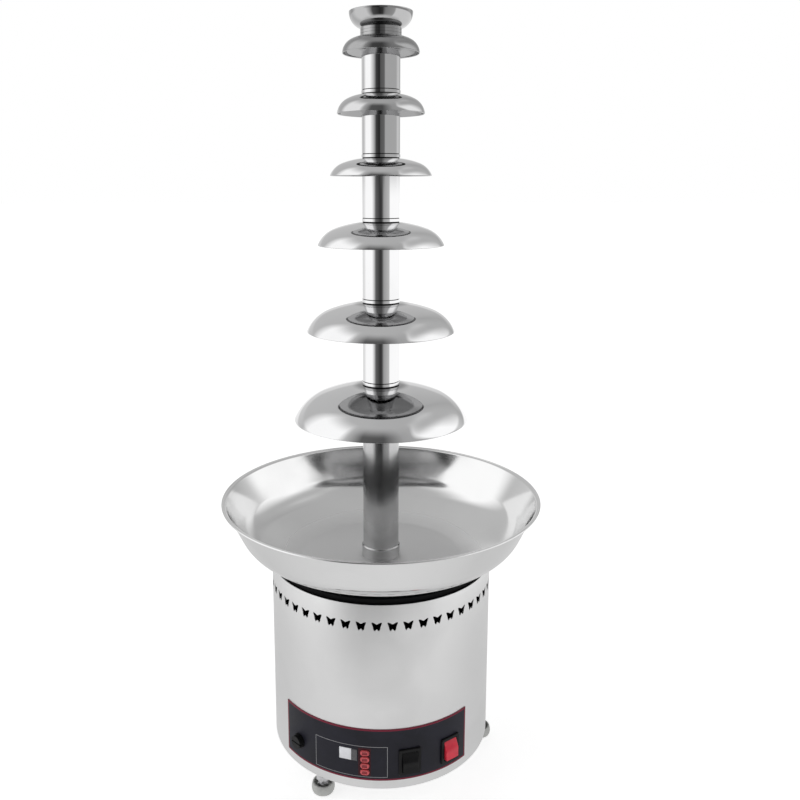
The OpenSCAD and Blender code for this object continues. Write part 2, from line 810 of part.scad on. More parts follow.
// Blind-bored boss that hangs from the bowl's floor
module floor_boss(dist, r, bore_r, low, grip) {
    translate([dist, 0, low])
        difference() {
            cylinder(r = r, h = bowl_z - low + bowl_t / 2);
            translate([0, 0, -over])
                cylinder(r = bore_r, h = grip + over);
        }
}

module bowl() {
    color("lightgray")
        union() {
            rotate_extrude()
                bowl_section();
            around(bolt_count, bolt_turn)
                floor_boss(bowl_bolt_dist, boss_r, bowl_bolt_r + seat_gap, deck_top, bowl_bolt_grip);
            around(heater_screw_count, heater_screw_turn)
                floor_boss(
                    heater_boss_dist, heater_boss_r, heater_screw_r + seat_gap, clamp_top, heater_screw_grip
                );
        }
}

module locating_pins() {
    color("silver")
        around(locator_count, locator_turn)
            translate([0, -locator_dist, floor_z])
                cylinder(r = locator_r, h = locator_h);
}

module bowl_bush() {
    color("burlywood")
        difference() {
            union() {
                translate([0, 0, bush_bottom])
                    cylinder(r = bush_r, h = bush_top - bush_bottom);
                translate([0, 0, floor_z])
                    cylinder(r = bush_flange_r, h = bush_flange_t);
            }
            translate([0, 0, bush_bottom - over])
                cylinder(r = shaft_r + run_gap, h = bush_top - bush_bottom + 2 * over);
        }
}

module bush_nut() {
    color("silver")
        translate([0, 0, bowl_z - bush_nut_h])
            hex_nut(bush_nut_r, bush_r + slip_gap, bush_nut_h);
}

module hex_nut(r, bore_r, h) {
    difference() {
        cylinder(r = r, h = h, $fn = hex_sides);
        translate([0, 0, -over])
            cylinder(r = bore_r, h = h + 2 * over);
    }
}

module shaft_seal() {
    color("white")
        translate([0, 0, bush_top])
            pipe(seal_r, shaft_r + run_gap, seal_h);
}

// Screw or bolt standing on its head: the shank runs up from the head's top face
module screw_up(head_r, head_height, shank_r, shank_len, sides) {
    translate([0, 0, -head_height])
        cylinder(r = head_r, h = head_height, $fn = sides);
    cylinder(r = shank_r, h = shank_len);
}

module bowl_bolts() {
    color("silver")
        around(bolt_count, bolt_turn)
            translate([bowl_bolt_dist, 0, deck_z])
                screw_up(bowl_bolt_head_r, bowl_bolt_head_h, bowl_bolt_r, bowl_bolt_len, hex_sides);
}

// Heating tube: an open ring under the floor, with a terminal at each end
module heater_element() {
    color("dimgray")
        rotate([0, 0, -heater_span / 2]) {
            rotate_extrude(angle = heater_span)
                translate([heater_ring_r, heater_z])
                    circle(d = heater_d);
            for (end = [0, heater_span])
                rotate([0, 0, end])
                    translate([heater_ring_r, 0, deck_z - terminal_drop])
                        cylinder(r = terminal_r, h = heater_z - deck_z + terminal_drop);
        }
}

module heater_clamp() {
    clamp_span = heater_span - 2 * clamp_setback;
    color("silver")
        difference() {
            rotate([0, 0, -clamp_span / 2])
                rotate_extrude(angle = clamp_span)
                    translate([heater_ring_r - clamp_w, clamp_z])
                        square([2 * clamp_w, clamp_t]);
            around(heater_screw_count, heater_screw_turn)
                translate([heater_boss_dist, 0, clamp_z - over])
                    cylinder(r = heater_screw_r + slip_gap, h = clamp_t + 2 * over);
        }
}

module heater_screws() {
    color("silver")
        around(heater_screw_count, heater_screw_turn)
            translate([heater_boss_dist, 0, clamp_z])
                screw_up(heater_head_r, head_h, heater_screw_r, clamp_t + heater_screw_grip - tip_room, $fn);
}

module temperature_probe() {
    color("goldenrod")
        rotate([0, 0, probe_turn])
            translate([probe_dist, 0, deck_top])
                cylinder(r = probe_r, h = bowl_z - deck_top - seat_gap);
}

// Hole for a switch, display window or fuse holder, cut outwards through the shell and the panel
module control_cut(angle, z) {
    on_shell(angle, z, shell_in_r - cut_depth)
        linear_extrude(cut_depth + panel_r - shell_in_r + over)
            children();
}

module switch_cuts() {
    for (angle = [motor_switch_angle, power_switch_angle])
        control_cut(angle, control_z)
            square([switch_body_w + 2 * slip_gap, switch_body_h + 2 * slip_gap], center = true);
    control_cut(fuse_angle, control_z)
        circle(r = fuse_body_r + slip_gap);
}

module shell() {
    color("lightgray")
        difference() {
            translate([0, 0, foot_h])
                difference() {
                    cylinder(r = shell_r, h = shell_h);
                    translate([0, 0, shell_t])
                        cylinder(r = shell_in_r, h = shell_h);
                    translate([0, 0, -over])
                        cylinder(r = shell_r - flange_w, h = shell_h);
                }
            around(vent_count, vent_turn)
                on_shell(0, vent_z, shell_in_r - 2 * over)
                    linear_extrude(shell_t + 4 * over)
                        butterfly();
            switch_cuts();
            control_cut(controller_angle, control_z)
                square([window_w, window_h], center = true);
            control_cut(gland_turn, gland_z)
                circle(r = gland_thread_r + slip_gap);
            bottom_holes();
        }
}

// Holes for the studs and the base screws, through the shell's flange and the base plate
module bottom_holes() {
    for (i = [1 : foot_count])
        rotate([0, 0, foot_turn(i)])
            translate([0, -foot_dist, foot_h - over])
                cylinder(r = stud_r + 2 * fit_gap, h = shell_t + plate_t + 2 * over);
    around(base_screw_count, base_screw_turn)
        translate([0, -base_screw_dist, foot_h - over])
            cylinder(r = base_screw_r + slip_gap, h = shell_t + plate_t + 2 * over);
}

module seat_ring() {
    color("black")
        rotate_extrude()
            difference() {
                translate([seat_in_r, deck_top])
                    square([seat_out_r - seat_in_r, bowl_z + seat_rise - deck_top]);
                bowl_room(fit_gap);
            }
}

module deck() {
    color("silver")
        difference() {
            translate([0, 0, deck_z])
                difference() {
                    cylinder(r = deck_r, h = deck_rim_h);
                    translate([0, 0, plate_t])
                        cylinder(r = deck_r - plate_t, h = deck_rim_h);
                }
            translate([0, 0, deck_z - over]) {
                hole_h = plate_t + 2 * over;
                cylinder(r = output_boss_r + fit_gap, h = hole_h);
                around(bolt_count, bolt_turn)
                    translate([bowl_bolt_dist, 0])
                        cylinder(r = bowl_bolt_r + slip_gap, h = hole_h);
                around(bolt_count, bolt_turn)
                    translate([motor_screw_dist, 0])
                        cylinder(r = motor_screw_r + slip_gap, h = hole_h);
                for (side = [-1, 1])
                    rotate([0, 0, side * heater_span / 2])
                        translate([heater_ring_r, 0])
                            cylinder(r = terminal_r + 3 * fit_gap, h = hole_h);
            }
        }
}

module base_plate() {
    color("silver")
        difference() {
            translate([0, 0, flange_top])
                cylinder(r = deck_r, h = plate_t);
            bottom_holes();
            around(slot_count, 180 / slot_count)
                translate([-slot_w / 2, shell_r / 2 - slot_len / 2, flange_top - over])
                    cube([slot_w, slot_len, plate_t + 2 * over]);
        }
}

module base_screws() {
    color("silver")
        around(base_screw_count, base_screw_turn)
            translate([0, -base_screw_dist, foot_h])
                screw_up(base_screw_head_r, base_screw_head_h, base_screw_r, base_screw_len, $fn);
}

module gearbox() {
    color("dimgray")
        difference() {
            union() {
                translate([0, 0, deck_z - gearbox_h])
                    cylinder(r = gearbox_r, h = gearbox_h);
                translate([0, 0, deck_z - over])
                    cylinder(r = output_boss_r, h = output_boss_h + over);
            }
            translate([0, 0, shaft_bottom - seat_gap])
                cylinder(r = shaft_r + run_gap, h = gearbox_h);
            around(bolt_count, bolt_turn)
                translate([motor_screw_dist, 0, deck_z - motor_screw_len])
                    cylinder(r = motor_screw_r + seat_gap, h = motor_screw_len + over);
        }
}

module motor_can() {
    color("gray")
        translate([0, 0, deck_z - gearbox_h - motor_len]) {
            cylinder(r = motor_r, h = motor_len);
            translate([0, 0, -bell_h])
                cylinder(r = bell_r, h = bell_h + over);
        }
}

module motor_screws() {
    color("silver")
        around(bolt_count, bolt_turn)
            translate([motor_screw_dist, 0, deck_top])
                rotate([180, 0, 0])
                    screw_up(motor_head_r, head_h, motor_screw_r, motor_screw_len - tip_room, $fn);
}

module control_panel() {
    color("black")
        difference() {
            rotate([0, 0, -90 - panel_half_angle])
                rotate_extrude(angle = 2 * panel_half_angle)
                    translate([panel_in_r, panel_z])
                        square([panel_t, panel_h]);
            switch_cuts();
            control_cut(display_angle, display_z)
                square([display_w + 2 * slip_gap, display_h + 2 * slip_gap], center = true);
            for (i = [1 : button_count])
                control_cut(button_angle, button_z(i))
                    oval(button_w + 2 * slip_gap, button_h + 2 * slip_gap);
        }
}

module controller_box() {
    color("darkgreen")
        on_shell(controller_angle, control_z, controller_r - controller_depth)
            linear_extrude(controller_depth)
                square([controller_w, controller_h], center = true);
}

module display() {
    color("whitesmoke")
        on_shell(display_angle, display_z, display_back)
            linear_extrude(panel_r + display_proud - display_back)
                square([display_w, display_h], center = true);
}

// Oval push button: the part in view, a flange behind the panel and a stem to the controller
module button(i) {
    color("firebrick")
        on_shell(button_angle, button_z(i), 0) {
            translate([0, 0, button_flange_out - button_flange_t])
                linear_extrude(panel_r + button_proud - button_flange_out + button_flange_t)
                    oval(button_w, button_h);
            translate([0, 0, button_flange_out - button_flange_t])
                linear_extrude(button_flange_t)
                    oval(button_w + 2 * button_edge, button_h + 2 * button_edge);
            translate([0, 0, button_stem_end])
                cylinder(r = button_stem_r, h = button_flange_out - button_stem_end);
        }
}

// Snap-in housing with a bezel and a well for the rocker
module switch_housing(angle) {
    color("black")
        on_shell(angle, control_z, panel_r)
            difference() {
                union() {
                    translate([0, 0, -switch_depth])
                        linear_extrude(switch_depth + bezel_t)
                            square([switch_body_w, switch_body_h], center = true);
                    translate([0, 0, seat_gap])
                        linear_extrude(bezel_t - seat_gap)
                            square([bezel_w, bezel_h], center = true);
                }
                translate([0, 0, rocker_pivot - rocker_r - rocker_gap])
                    linear_extrude(switch_depth)
                        square([switch_hole_w, switch_hole_h], center = true);
                translate([0, 0, rocker_pivot])
                    rotate([0, 90, 0])
                        cylinder(r = rocker_pin_r + run_gap, h = rocker_bore_len, center = true);
            }
}

// Rocker with two sloping faces and a ridge between them, on two pins, its upper end pressed in
module rocker(angle) {
    on_shell(angle, control_z, panel_r + rocker_pivot)
        rotate([-rocker_tilt, 0, 0]) {
            intersection() {
                rotate([90, 0, 90])
                    linear_extrude(rocker_w, center = true)
                        polygon([
                            [-rocker_half_h, -rocker_back],
                            [rocker_half_h, -rocker_back],
                            [rocker_half_h, rocker_end],
                            [0, rocker_ridge],
                            [-rocker_half_h, rocker_end]
                        ]);
                rotate([0, 90, 0])
                    cylinder(r = rocker_r, h = rocker_w, center = true);
            }
            rotate([0, 90, 0])
                cylinder(r = rocker_pin_r, h = rocker_pin_len, center = true);
        }
}

module power_switch_housing() {
    switch_housing(power_switch_angle);
}

module motor_switch_housing() {
    switch_housing(motor_switch_angle);
}

module power_rocker() {
    color("crimson")
        rocker(power_switch_angle);
}

module motor_rocker() {
    color("black")
        rocker(motor_switch_angle);
}

module fuse_holder() {
    color("black")
        on_shell(fuse_angle, control_z, panel_r)
            difference() {
                union() {
                    translate([0, 0, -fuse_depth])
                        cylinder(r = fuse_body_r, h = fuse_depth + fuse_flange_t);
                    translate([0, 0, seat_gap])
                        cylinder(r = fuse_flange_r, h = fuse_flange_t - seat_gap);
                }
                translate([0, 0, -fuse_plug_len - over])
                    cylinder(r = fuse_plug_r + run_gap, h = fuse_depth + fuse_plug_len);
            }
}

module fuse_cap() {
    cap_z = fuse_flange_t + fit_gap;
    color("black")
        on_shell(fuse_angle, control_z, panel_r)
            difference() {
                union() {
                    translate([0, 0, cap_z])
                        cylinder(r = fuse_cap_r, h = fuse_cap_h);
                    translate([0, 0, -fuse_plug_len])
                        cylinder(r = fuse_plug_r, h = fuse_plug_len + cap_z + over);
                }
                translate([-fuse_cap_r - over, -fuse_slot_w / 2, cap_z + fuse_cap_h - fuse_slot_w])
                    cube([2 * (fuse_cap_r + over), fuse_slot_w, fuse_slot_w + over]);
            }
}

module terminal_block() {
    color("white")
        translate([-terminal_block_size[0] / 2, terminal_block_y, plate_top])
            cube(terminal_block_size);
}

module cable_gland() {
    color("black")
        on_shell(gland_turn, gland_z, shell_r)
            difference() {
                union() {
                    translate([0, 0, -gland_in])
                        cylinder(r = gland_thread_r, h = gland_in + over);
                    translate([0, 0, seat_gap])
                        cylinder(r = gland_hex_r, h = gland_hex_h, $fn = hex_sides);
                    translate([0, 0, gland_hex_h])
                        cylinder(r1 = gland_dome_r, r2 = gland_mouth_r, h = gland_out - gland_hex_h);
                }
                translate([0, 0, -gland_in - over])
                    cylinder(r = gland_bore_r, h = gland_in + gland_out + 2 * over);
            }
}

module gland_nut() {
    color("black")
        on_shell(gland_turn, gland_z, shell_r - gland_nut_face - gland_nut_t)
            hex_nut(gland_hex_r, gland_thread_r + seat_gap, gland_nut_t);
}

module foot_nuts() {
    color("silver")
        for (i = [1 : foot_count])
            rotate([0, 0, foot_turn(i)])
                translate([0, -foot_dist, foot_h - foot_nut_h])
                    hex_nut(foot_nut_r, stud_r + run_gap, foot_nut_h);
}

// Open cup with a rounded belly, which stands on the floor
module foot_cup(i) {
    color("gray")
        rotate([0, 0, foot_turn(i)])
            translate([0, -foot_dist, 0])
                rotate_extrude()
                    polygon(concat(
                        [[0, 0]],
                        [for (p = cup_shape) [p[0] * cup_r, p[1] * cup_h]],
                        [[cup_in_r, cup_h], [cup_in_r, cup_floor], [0, cup_floor]]
                    ));
}

module foot_stud(i) {
    color("silver")
        rotate([0, 0, foot_turn(i)])
            translate([0, -foot_dist, cup_floor]) {
                cylinder(r = stud_r, h = stud_len);
                cylinder(r = stud_hex_r, h = stud_hex_h, $fn = hex_sides);
            }
}

crown();
tier_cap(1);  // cap_1
tier_cap(2);  // cap_2
tier_cap(3);  // cap_3
tier_cap(4);  // cap_4
tier_cap(5);  // cap_5
tier_cap(6);  // cap_6
tier_tube(1);  // tube_1
tier_tube(2);  // tube_2
tier_tube(3);  // tube_3
tier_tube(4);  // tube_4
tier_tube(5);  // tube_5
tier_tube(6);  // tube_6
auger_core();
auger_flight();
drive_shaft();
drive_pin();
bowl();
locating_pins();
bowl_bush();
bush_nut();
shaft_seal();
bowl_bolts();
heater_element();
heater_clamp();
heater_screws();
temperature_probe();
shell();
seat_ring();
deck();
base_plate();
base_screws();
gearbox();
motor_can();
motor_screws();
control_panel();
controller_box();
display();
button(1);  // button_1
button(2);  // button_2
button(3);  // button_3
button(4);  // button_4
power_switch_housing();
power_rocker();
motor_switch_housing();
motor_rocker();
fuse_holder();
fuse_cap();
terminal_block();
cable_gland();
gland_nut();
foot_nuts();
foot_cup(1);  // foot_1_cup
foot_cup(2);  // foot_2_cup
foot_cup(3);  // foot_3_cup
foot_stud(1);  // foot_1_stud
foot_stud(2);  // foot_2_stud
foot_stud(3);  // foot_3_stud
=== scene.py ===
"""Chocolate fountain: a tower of polished dome caps over a heated bowl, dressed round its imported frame."""

import math

import bpy
import numpy as np
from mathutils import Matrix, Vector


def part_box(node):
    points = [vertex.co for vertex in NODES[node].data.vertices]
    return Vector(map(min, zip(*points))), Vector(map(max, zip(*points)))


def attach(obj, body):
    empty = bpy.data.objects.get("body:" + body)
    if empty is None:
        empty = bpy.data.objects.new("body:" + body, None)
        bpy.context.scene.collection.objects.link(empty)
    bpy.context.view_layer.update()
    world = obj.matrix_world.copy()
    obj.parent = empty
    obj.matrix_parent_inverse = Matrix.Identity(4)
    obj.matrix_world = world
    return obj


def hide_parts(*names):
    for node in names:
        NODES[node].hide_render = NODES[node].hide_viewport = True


bl_info = {
    "name": "Chocolate Fountain",
    "version": (1, 0, 0),
    "blender": (4, 5, 0),
    "location": "View3D > Sidebar > Fountain",
    "description": "Turned steel tower, bowl and vented base of a chocolate fountain",
    "category": "Object",
}

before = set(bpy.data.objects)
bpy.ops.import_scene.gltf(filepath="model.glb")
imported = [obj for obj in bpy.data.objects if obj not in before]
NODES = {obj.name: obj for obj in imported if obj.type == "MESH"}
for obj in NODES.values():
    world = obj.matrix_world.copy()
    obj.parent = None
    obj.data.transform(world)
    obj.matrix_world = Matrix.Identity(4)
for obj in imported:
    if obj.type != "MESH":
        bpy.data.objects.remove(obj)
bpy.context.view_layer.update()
TIERS = 6
MM = 0.001
AROUND = 192
FINE_AROUND = 256
SAME_POINT = 1e-7
HAIR = 1e-9
LOOKS_DOWN = -0.05


def node_heights(node):
    """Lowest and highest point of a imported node"""
    low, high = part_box(node)
    return low.z, high.z


def length_property(name, description, default):
    """Property for a length in metres"""
    return bpy.props.FloatProperty(name=name, description=description, default=default, unit="LENGTH")


def plain_property(name, description, default):
    """Property for a number whose description gives the unit"""
    return bpy.props.FloatProperty(name=name, description=description, default=default)


def colour_property(name, description, default):
    """Property for a colour"""
    return bpy.props.FloatVectorProperty(name=name, description=description, default=default, subtype="COLOR")


class FountainTower(bpy.types.PropertyGroup):
    """Sizes of the turned pieces of the tower"""

    tube_radius: length_property("Tube radius", "Outside of the tubes", 0.0254)
    tube_wall: length_property("Tube wall", "Wall of the tubes", 0.0012)
    sheet: length_property("Sheet", "Sheet of the caps, the crown and the bowl", 0.0012)
    sleeve_length: length_property("Sleeve", "Length of a sleeve above its cap", 0.010)
    sleeve_radius: length_property("Sleeve radius", "Outside of the sleeves", 0.024)
    collar_out: length_property("Collar", "How far a collar stands out of its tube", 0.0016)
    collar_height: length_property("Collar height", "Height of a collar", 0.006)
    foot_out: length_property("Tower foot", "How far the foot stands out of the lowest tube", 0.0023)
    foot_height: length_property("Foot height", "Height of the tower's foot", 0.017)
    hub_slope: plain_property("Hub slope", "Slope of a dome at its hub, in degrees", 6.0)
    flight_radius: length_property("Auger radius", "Outside of the auger's flight", 0.022)
    flight_pitch: length_property("Auger pitch", "Rise of the flight in one turn", 0.044)


class FountainBase(bpy.types.PropertyGroup):
    """Sizes of the bowl and of the base"""

    floor_radius: length_property("Bowl floor", "Radius of the bowl's flat floor", 0.112)
    ease_radius: length_property("Floor ease", "Radius of the turn from floor to apron", 0.02)
    apron_slope: plain_property("Apron slope", "Slope of the apron round the floor, in degrees", 22.0)
    apron_width: length_property("Apron width", "Width of the apron, measured level", 0.0505)
    bend_radius: length_property("Bowl bend", "Radius of the bend from apron to wall", 0.056)
    wall_slope: plain_property("Wall slope", "Slope of the bowl's wall, in degrees", 63.5)
    wall_height: length_property("Wall height", "Height of the wall between bend and lip", 0.0398)
    bead_radius: length_property("Bead", "Radius of the rolled edge of the lip", 0.0014)
    shell_radius: length_property("Shell radius", "Outside of the cylindrical shell", 0.156)
    vent_count: bpy.props.IntProperty(
        name="Vents", description="Number of butterfly vents round the shell", default=48
    )
    vent_width: length_property("Vent width", "Width of a butterfly over its wings", 0.0136)
    vent_height: length_property("Vent height", "Height of a butterfly", 0.0122)
    vent_turn: plain_property("Vent turn", "Turn of the first vent from the front, in degrees", 2.0)
    vent_drop: length_property("Vent drop", "Depth of the vents below the shell's edge", 0.0295)


class FountainFinish(bpy.types.PropertyGroup):
    """Colours of the finishes"""

    steel: colour_property("Polished steel", "Tint of the polished steel", (0.80, 0.80, 0.805))
    satin: colour_property("Satin steel", "Tint of the bowl and the shell", (0.80, 0.80, 0.80))
    film: colour_property("Panel film", "Ground of the control panel", (0.012, 0.012, 0.019))
    border: colour_property("Panel border", "Border of the control panel", (0.19, 0.014, 0.035))
    rocker: colour_property("Power rocker", "Colour of the lit rocker", (0.58, 0.022, 0.045))
    key_ring: colour_property("Key ring", "Colour of the keys' rims", (0.55, 0.075, 0.085))
    key_centre: colour_property("Key centre", "Colour of the keys' dished centres", (0.25, 0.012, 0.02))


class FountainStage(bpy.types.PropertyGroup):
    """Camera and light"""

    distance: length_property("Distance", "Camera's distance from the axis", 1.132)
    height: length_property("Height", "Camera's height above the floor", 0.8085)
    azimuth: plain_property("Azimuth", "Camera's turn towards +X, in degrees", 4.0)
    pitch: plain_property("Pitch", "Camera's tilt below the horizon, in degrees", 10.2)
    lens: plain_property("Lens", "Focal length in millimetres", 37.46)
    shift: bpy.props.FloatVectorProperty(
        name="Shift", description="Sideways and vertical lens shift", size=2, default=(0.0238, -0.0804)
    )
    light: plain_property("Light", "Strength of the studio's walls", 1.0)


def sin(degrees):
    """Sine of an angle in degrees"""
    return math.sin(math.radians(degrees))


def cos(degrees):
    """Cosine of an angle in degrees"""
    return math.cos(math.radians(degrees))


def arc(centre, radius, start, end, steps):
    """Arc in the (r, z) plane: centre + radius (sin a, cos a), with a running evenly from start to end
    degrees"""
    a = np.radians(np.linspace(start, end, steps + 1))
    return np.column_stack((centre[0] + radius * np.sin(a), centre[1] + radius * np.cos(a)))


def line(*points):
    """Points of a profile as an array"""
    return np.array(points, float)


def circle(steps):
    """Even turns of a full circle"""
    return np.linspace(0, 2 * np.pi, steps, endpoint=False)


def around(radius, heights, a, at=(0.0, 0.0)):
    """Rows of points round a vertical axis: (x + r cos a, y + r sin a, z), with one height for each row"""
    rows = np.broadcast_arrays(at[0] + radius * np.cos(a), at[1] + radius * np.sin(a), heights[:, None])
    return np.stack(rows, -1).reshape(-1, 3)


def grid_faces(rows, cols, close_rows, close_cols):
    """Quads of a grid whose vertices run along the columns first, turned as column direction times row
    direction"""
    i = np.arange(rows if close_rows else rows - 1)[:, None]
    j = np.arange(cols if close_cols else cols - 1)[None, :]
    this_row = i * cols
    next_row = (i + 1) % rows * cols
    next_col = (j + 1) % cols
    corners = (this_row + j, this_row + next_col, next_row + next_col, next_row + j)
    return np.stack(np.broadcast_arrays(*corners), -1).reshape(-1, 4)


def merged(points):
    """First vertex at each place, and the row of every vertex among these"""
    cells = np.round(points / SAME_POINT).astype(np.int64)
    _, first, rows = np.unique(cells, axis=0, return_index=True, return_inverse=True)
    return first, rows.reshape(-1)


def weld(points, faces):
    """Merges vertices that coincide, so seams and poles close; a quad that loses a corner becomes a
    triangle"""
    first, rows = merged(points)
    quads = rows[faces]
    same = quads == np.roll(quads, -1, axis=1)
    kept = quads[~same.any(1)].tolist()
    for corner in range(4):
        lost = same[:, corner] & (same.sum(1) == 1)
        kept += np.delete(quads[lost], corner, axis=1).tolist()
    return points[first], kept


def lathe(profile, steps=AROUND, at=(0.0, 0.0)):
    """Profile turned about a vertical axis: P(s, a) = (r(s) cos a, r(s) sin a, z(s)). It is a closed loop, or
    runs from the axis to the axis; its outer side goes up, so the faces look outwards."""
    moves = np.linalg.norm(np.diff(profile, axis=0), axis=1) > SAME_POINT
    r, z = profile[np.r_[True, moves]].T
    if np.sum(r * np.roll(z, -1) - np.roll(r, -1) * z) < 0:
        r, z = r[::-1], z[::-1]
    on_axis = r[0] < HAIR and r[-1] < HAIR
    return around(r[:, None], z, circle(steps), at), grid_faces(len(r), steps, not on_axis, True)


def rings(outlines):
    """Stack of closed outlines, each an (n, 3) array: P(s, u) runs round outline s at u. The first and the
    last may shrink to a point, which closes the piece."""
    stack = np.stack(outlines)
    return stack.reshape(-1, 3), grid_faces(stack.shape[0], stack.shape[1], False, True)


def stacked(rows):
    """Flat outlines set one over the other, each at its own height z, as rings"""
    return rings([np.column_stack((outline, np.full(len(outline), z))) for outline, z in rows])


def joined(*parts):
    """Several surfaces as one"""
    shift = np.cumsum([0] + [len(p) for p, _ in parts[:-1]])
    return np.vstack([p for p, _ in parts]), np.vstack([f + s for (_, f), s in zip(parts, shift)])


def thicken(points, faces, inner):
    """Closed plate from a sheet and the matching points of its other side, with a rim along every open edge.
    Points that coincide are merged first, and quads that shrink to a line are dropped."""
    first, rows = merged(points)
    points, inner = points[first], inner[first]
    faces = rows[faces]
    a, b, c, d = faces.T
    faces = faces[~((a == d) & (b == c) | (a == b) & (c == d))]
    count = len(points)
    ends = np.roll(faces, -1, axis=1)
    edges = np.vstack([np.column_stack((faces[:, k], ends[:, k])) for k in range(4)])
    there = edges[:, 0] * count + edges[:, 1]
    back = edges[:, 1] * count + edges[:, 0]
    rim = edges[~np.isin(there, back)]
    start, end = rim[rim[:, 0] != rim[:, 1]].T
    sides = np.column_stack((end, start, start + count, end + count))
    return np.vstack((points, inner)), np.vstack((faces, faces[:, ::-1] + count, sides))


def star(outline, angles, cuts=40):
    """Distance from the middle to an outline round it, by direction: the outline's edges are cut fine and its
    radius is read between their points"""
    closed = np.vstack((outline, outline[:1]))
    share = np.linspace(0, 1, cuts, endpoint=False)[:, None]
    fine = (closed[:-1, None] * (1 - share) + closed[1:, None] * share).reshape(-1, 2)
    a = np.arctan2(fine[:, 1], fine[:, 0])
    order = np.argsort(a)
    return np.interp(angles, a[order], np.hypot(*fine.T)[order], period=2 * np.pi)


def nearest(lines, values):
    """Lines of a grid that lie nearest to the values"""
    return [lines[np.abs(lines - value).argmin()] for value in values]


def holed_sheet(across, up, holes, depth=5):
    """Flat sheet on the lines across and up, with holes. Each hole is (left, right, low, high, outline), and
    the first four are lines of the grid: there P(u, t) = (1 - t) outline(u) + t border(u), with t from the
    hole to the border."""
    x, y = np.meshgrid(across, up)
    points = [np.column_stack((x.ravel(), y.ravel()))]
    holes = [(*nearest(across, hole[:2]), *nearest(up, hole[2:4]), hole[4]) for hole in holes]
    faces = grid_faces(len(up), len(across), False, False)
    middle_x, middle_y = points[0][faces].mean(1).T
    open_cells = np.zeros(len(faces), bool)
    for left, right, low, high, _ in holes:
        open_cells |= (middle_x > left) & (middle_x < right) & (middle_y > low) & (middle_y < high)
    parts = [faces[~open_cells]]
    total = len(points[0])
    for left, right, low, high, outline in holes:
        h = across[(across > left - HAIR) & (across < right + HAIR)]
        v = up[(up > low - HAIR) & (up < high + HAIR)]
        cols, rows = np.ones(len(h) - 1), np.ones(len(v) - 1)
        border = np.column_stack((
            np.concatenate((h[:-1], right * rows, h[:0:-1], left * rows)),
            np.concatenate((low * cols, v[:-1], high * cols, v[:0:-1])),
        ))
        centre = np.array(((left + right) / 2, (low + high) / 2))
        a = np.arctan2(*(border - centre).T[::-1])
        edge = centre + star(outline, a)[:, None] * np.column_stack((np.cos(a), np.sin(a)))
        t = np.linspace(1, 0, depth)[:, None, None]
        points.append((edge * (1 - t) + border * t).reshape(-1, 2))
        parts.append(grid_faces(depth, len(border), False, True) + total)
        total += len(points[-1])
    return np.vstack(points), np.vstack(parts)


def on_cylinder(flat, radius):
    """Flat (x, z) points laid on a cylinder round the axis: x is the arc length from the front, towards +X"""
    a = flat[:, 0] / radius
    return np.column_stack((radius * np.sin(a), -radius * np.cos(a), flat[:, 1]))


def at_panel(surface, degrees, height, radius):
    """Surface in local points (x along the shell, y up, z outwards), set on the shell at a turn from the
    front"""
    local, faces = surface
    out = np.array((sin(degrees), -cos(degrees), 0))
    along = np.array((cos(degrees), sin(degrees), 0))
    upwards = np.array((0, 0, 1))
    base = out * radius + np.array((0, 0, height))
    return base + local[:, :1] * along + local[:, 1:2] * upwards + local[:, 2:] * out, faces


def rounded_box(half_w, half_h, corner, steps):
    """Outline of a rectangle with round corners: four quarter arcs joined by straight sides"""
    a = np.radians(np.linspace(0, 90, steps + 1))
    turns = np.concatenate([a + k * np.pi / 2 for k in range(4)])
    x = np.repeat((1, -1, -1, 1), steps + 1) * (half_w - corner) + corner * np.cos(turns)
    y = np.repeat((1, 1, -1, -1), steps + 1) * (half_h - corner) + corner * np.sin(turns)
    return np.column_stack((x, y))


def face_centres(mesh):
    """Middle of every face, as rows of x, y and z"""
    centres = np.zeros(len(mesh.polygons) * 3)
    mesh.polygons.foreach_get("center", centres)
    return centres.reshape(-1, 3)


def facing_down(mesh):
    """True on the faces that look down"""
    normals = np.zeros(len(mesh.polygons) * 3, np.float32)
    mesh.polygons.foreach_get("normal", normals)
    return normals[2::3] < LOOKS_DOWN


def place(name, surface, materials, body, node, sharp=32.0, second=None):
    """Makes the piece's mesh, shades it smooth up to an angle, and seats it on its body in place of its node.
    The faces that second picks get the second material."""
    points, faces = weld(*surface)
    mesh = bpy.data.meshes.new(name)
    mesh.from_pydata(points.tolist(), [], faces)
    for material in materials:
        mesh.materials.append(material)
    if second:
        mesh.polygons.foreach_set("material_index", second(mesh).astype(np.int32))
    mesh.shade_smooth()
    mesh.set_sharp_from_angle(angle=math.radians(sharp))
    mesh.update()
    piece = bpy.data.objects.new(name, mesh)
    bpy.context.scene.collection.objects.link(piece)
    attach(piece, body)
    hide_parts(node)


def add(tree, kind, inputs=None, **values):
    """New shader node with settings and input values"""
    node = tree.nodes.new("ShaderNode" + kind)
    for key, value in values.items():
        setattr(node, key, value)
    for key, value in (inputs or {}).items():
        if isinstance(value, bpy.types.NodeSocket):
            tree.links.new(value, node.inputs[key])
        else:
            node.inputs[key].default_value = value
    return node


def math_node(tree, operation, a, b=0.0):
    """Output of a Math node"""
    return add(tree, "Math", {0: a, 1: b}, operation=operation).outputs[0]


def times(tree, a, b):
    """Output of a Math node that multiplies"""
    return math_node(tree, "MULTIPLY", a, b)


def linear(tree, value, factor, offset):
    """Value times factor plus offset"""
    return math_node(tree, "ADD", times(tree, value, factor), offset)


def turn_from_front(tree, part):
    """Turn of a separated vector from the front, towards +X, in radians"""
    return math_node(tree, "ARCTAN2", part[0], times(tree, part[1], -1.0))


def opaque(colour):
    """A colour of three numbers with full alpha; a socket stays as it is"""
    return colour if isinstance(colour, bpy.types.NodeSocket) else (*colour, 1)


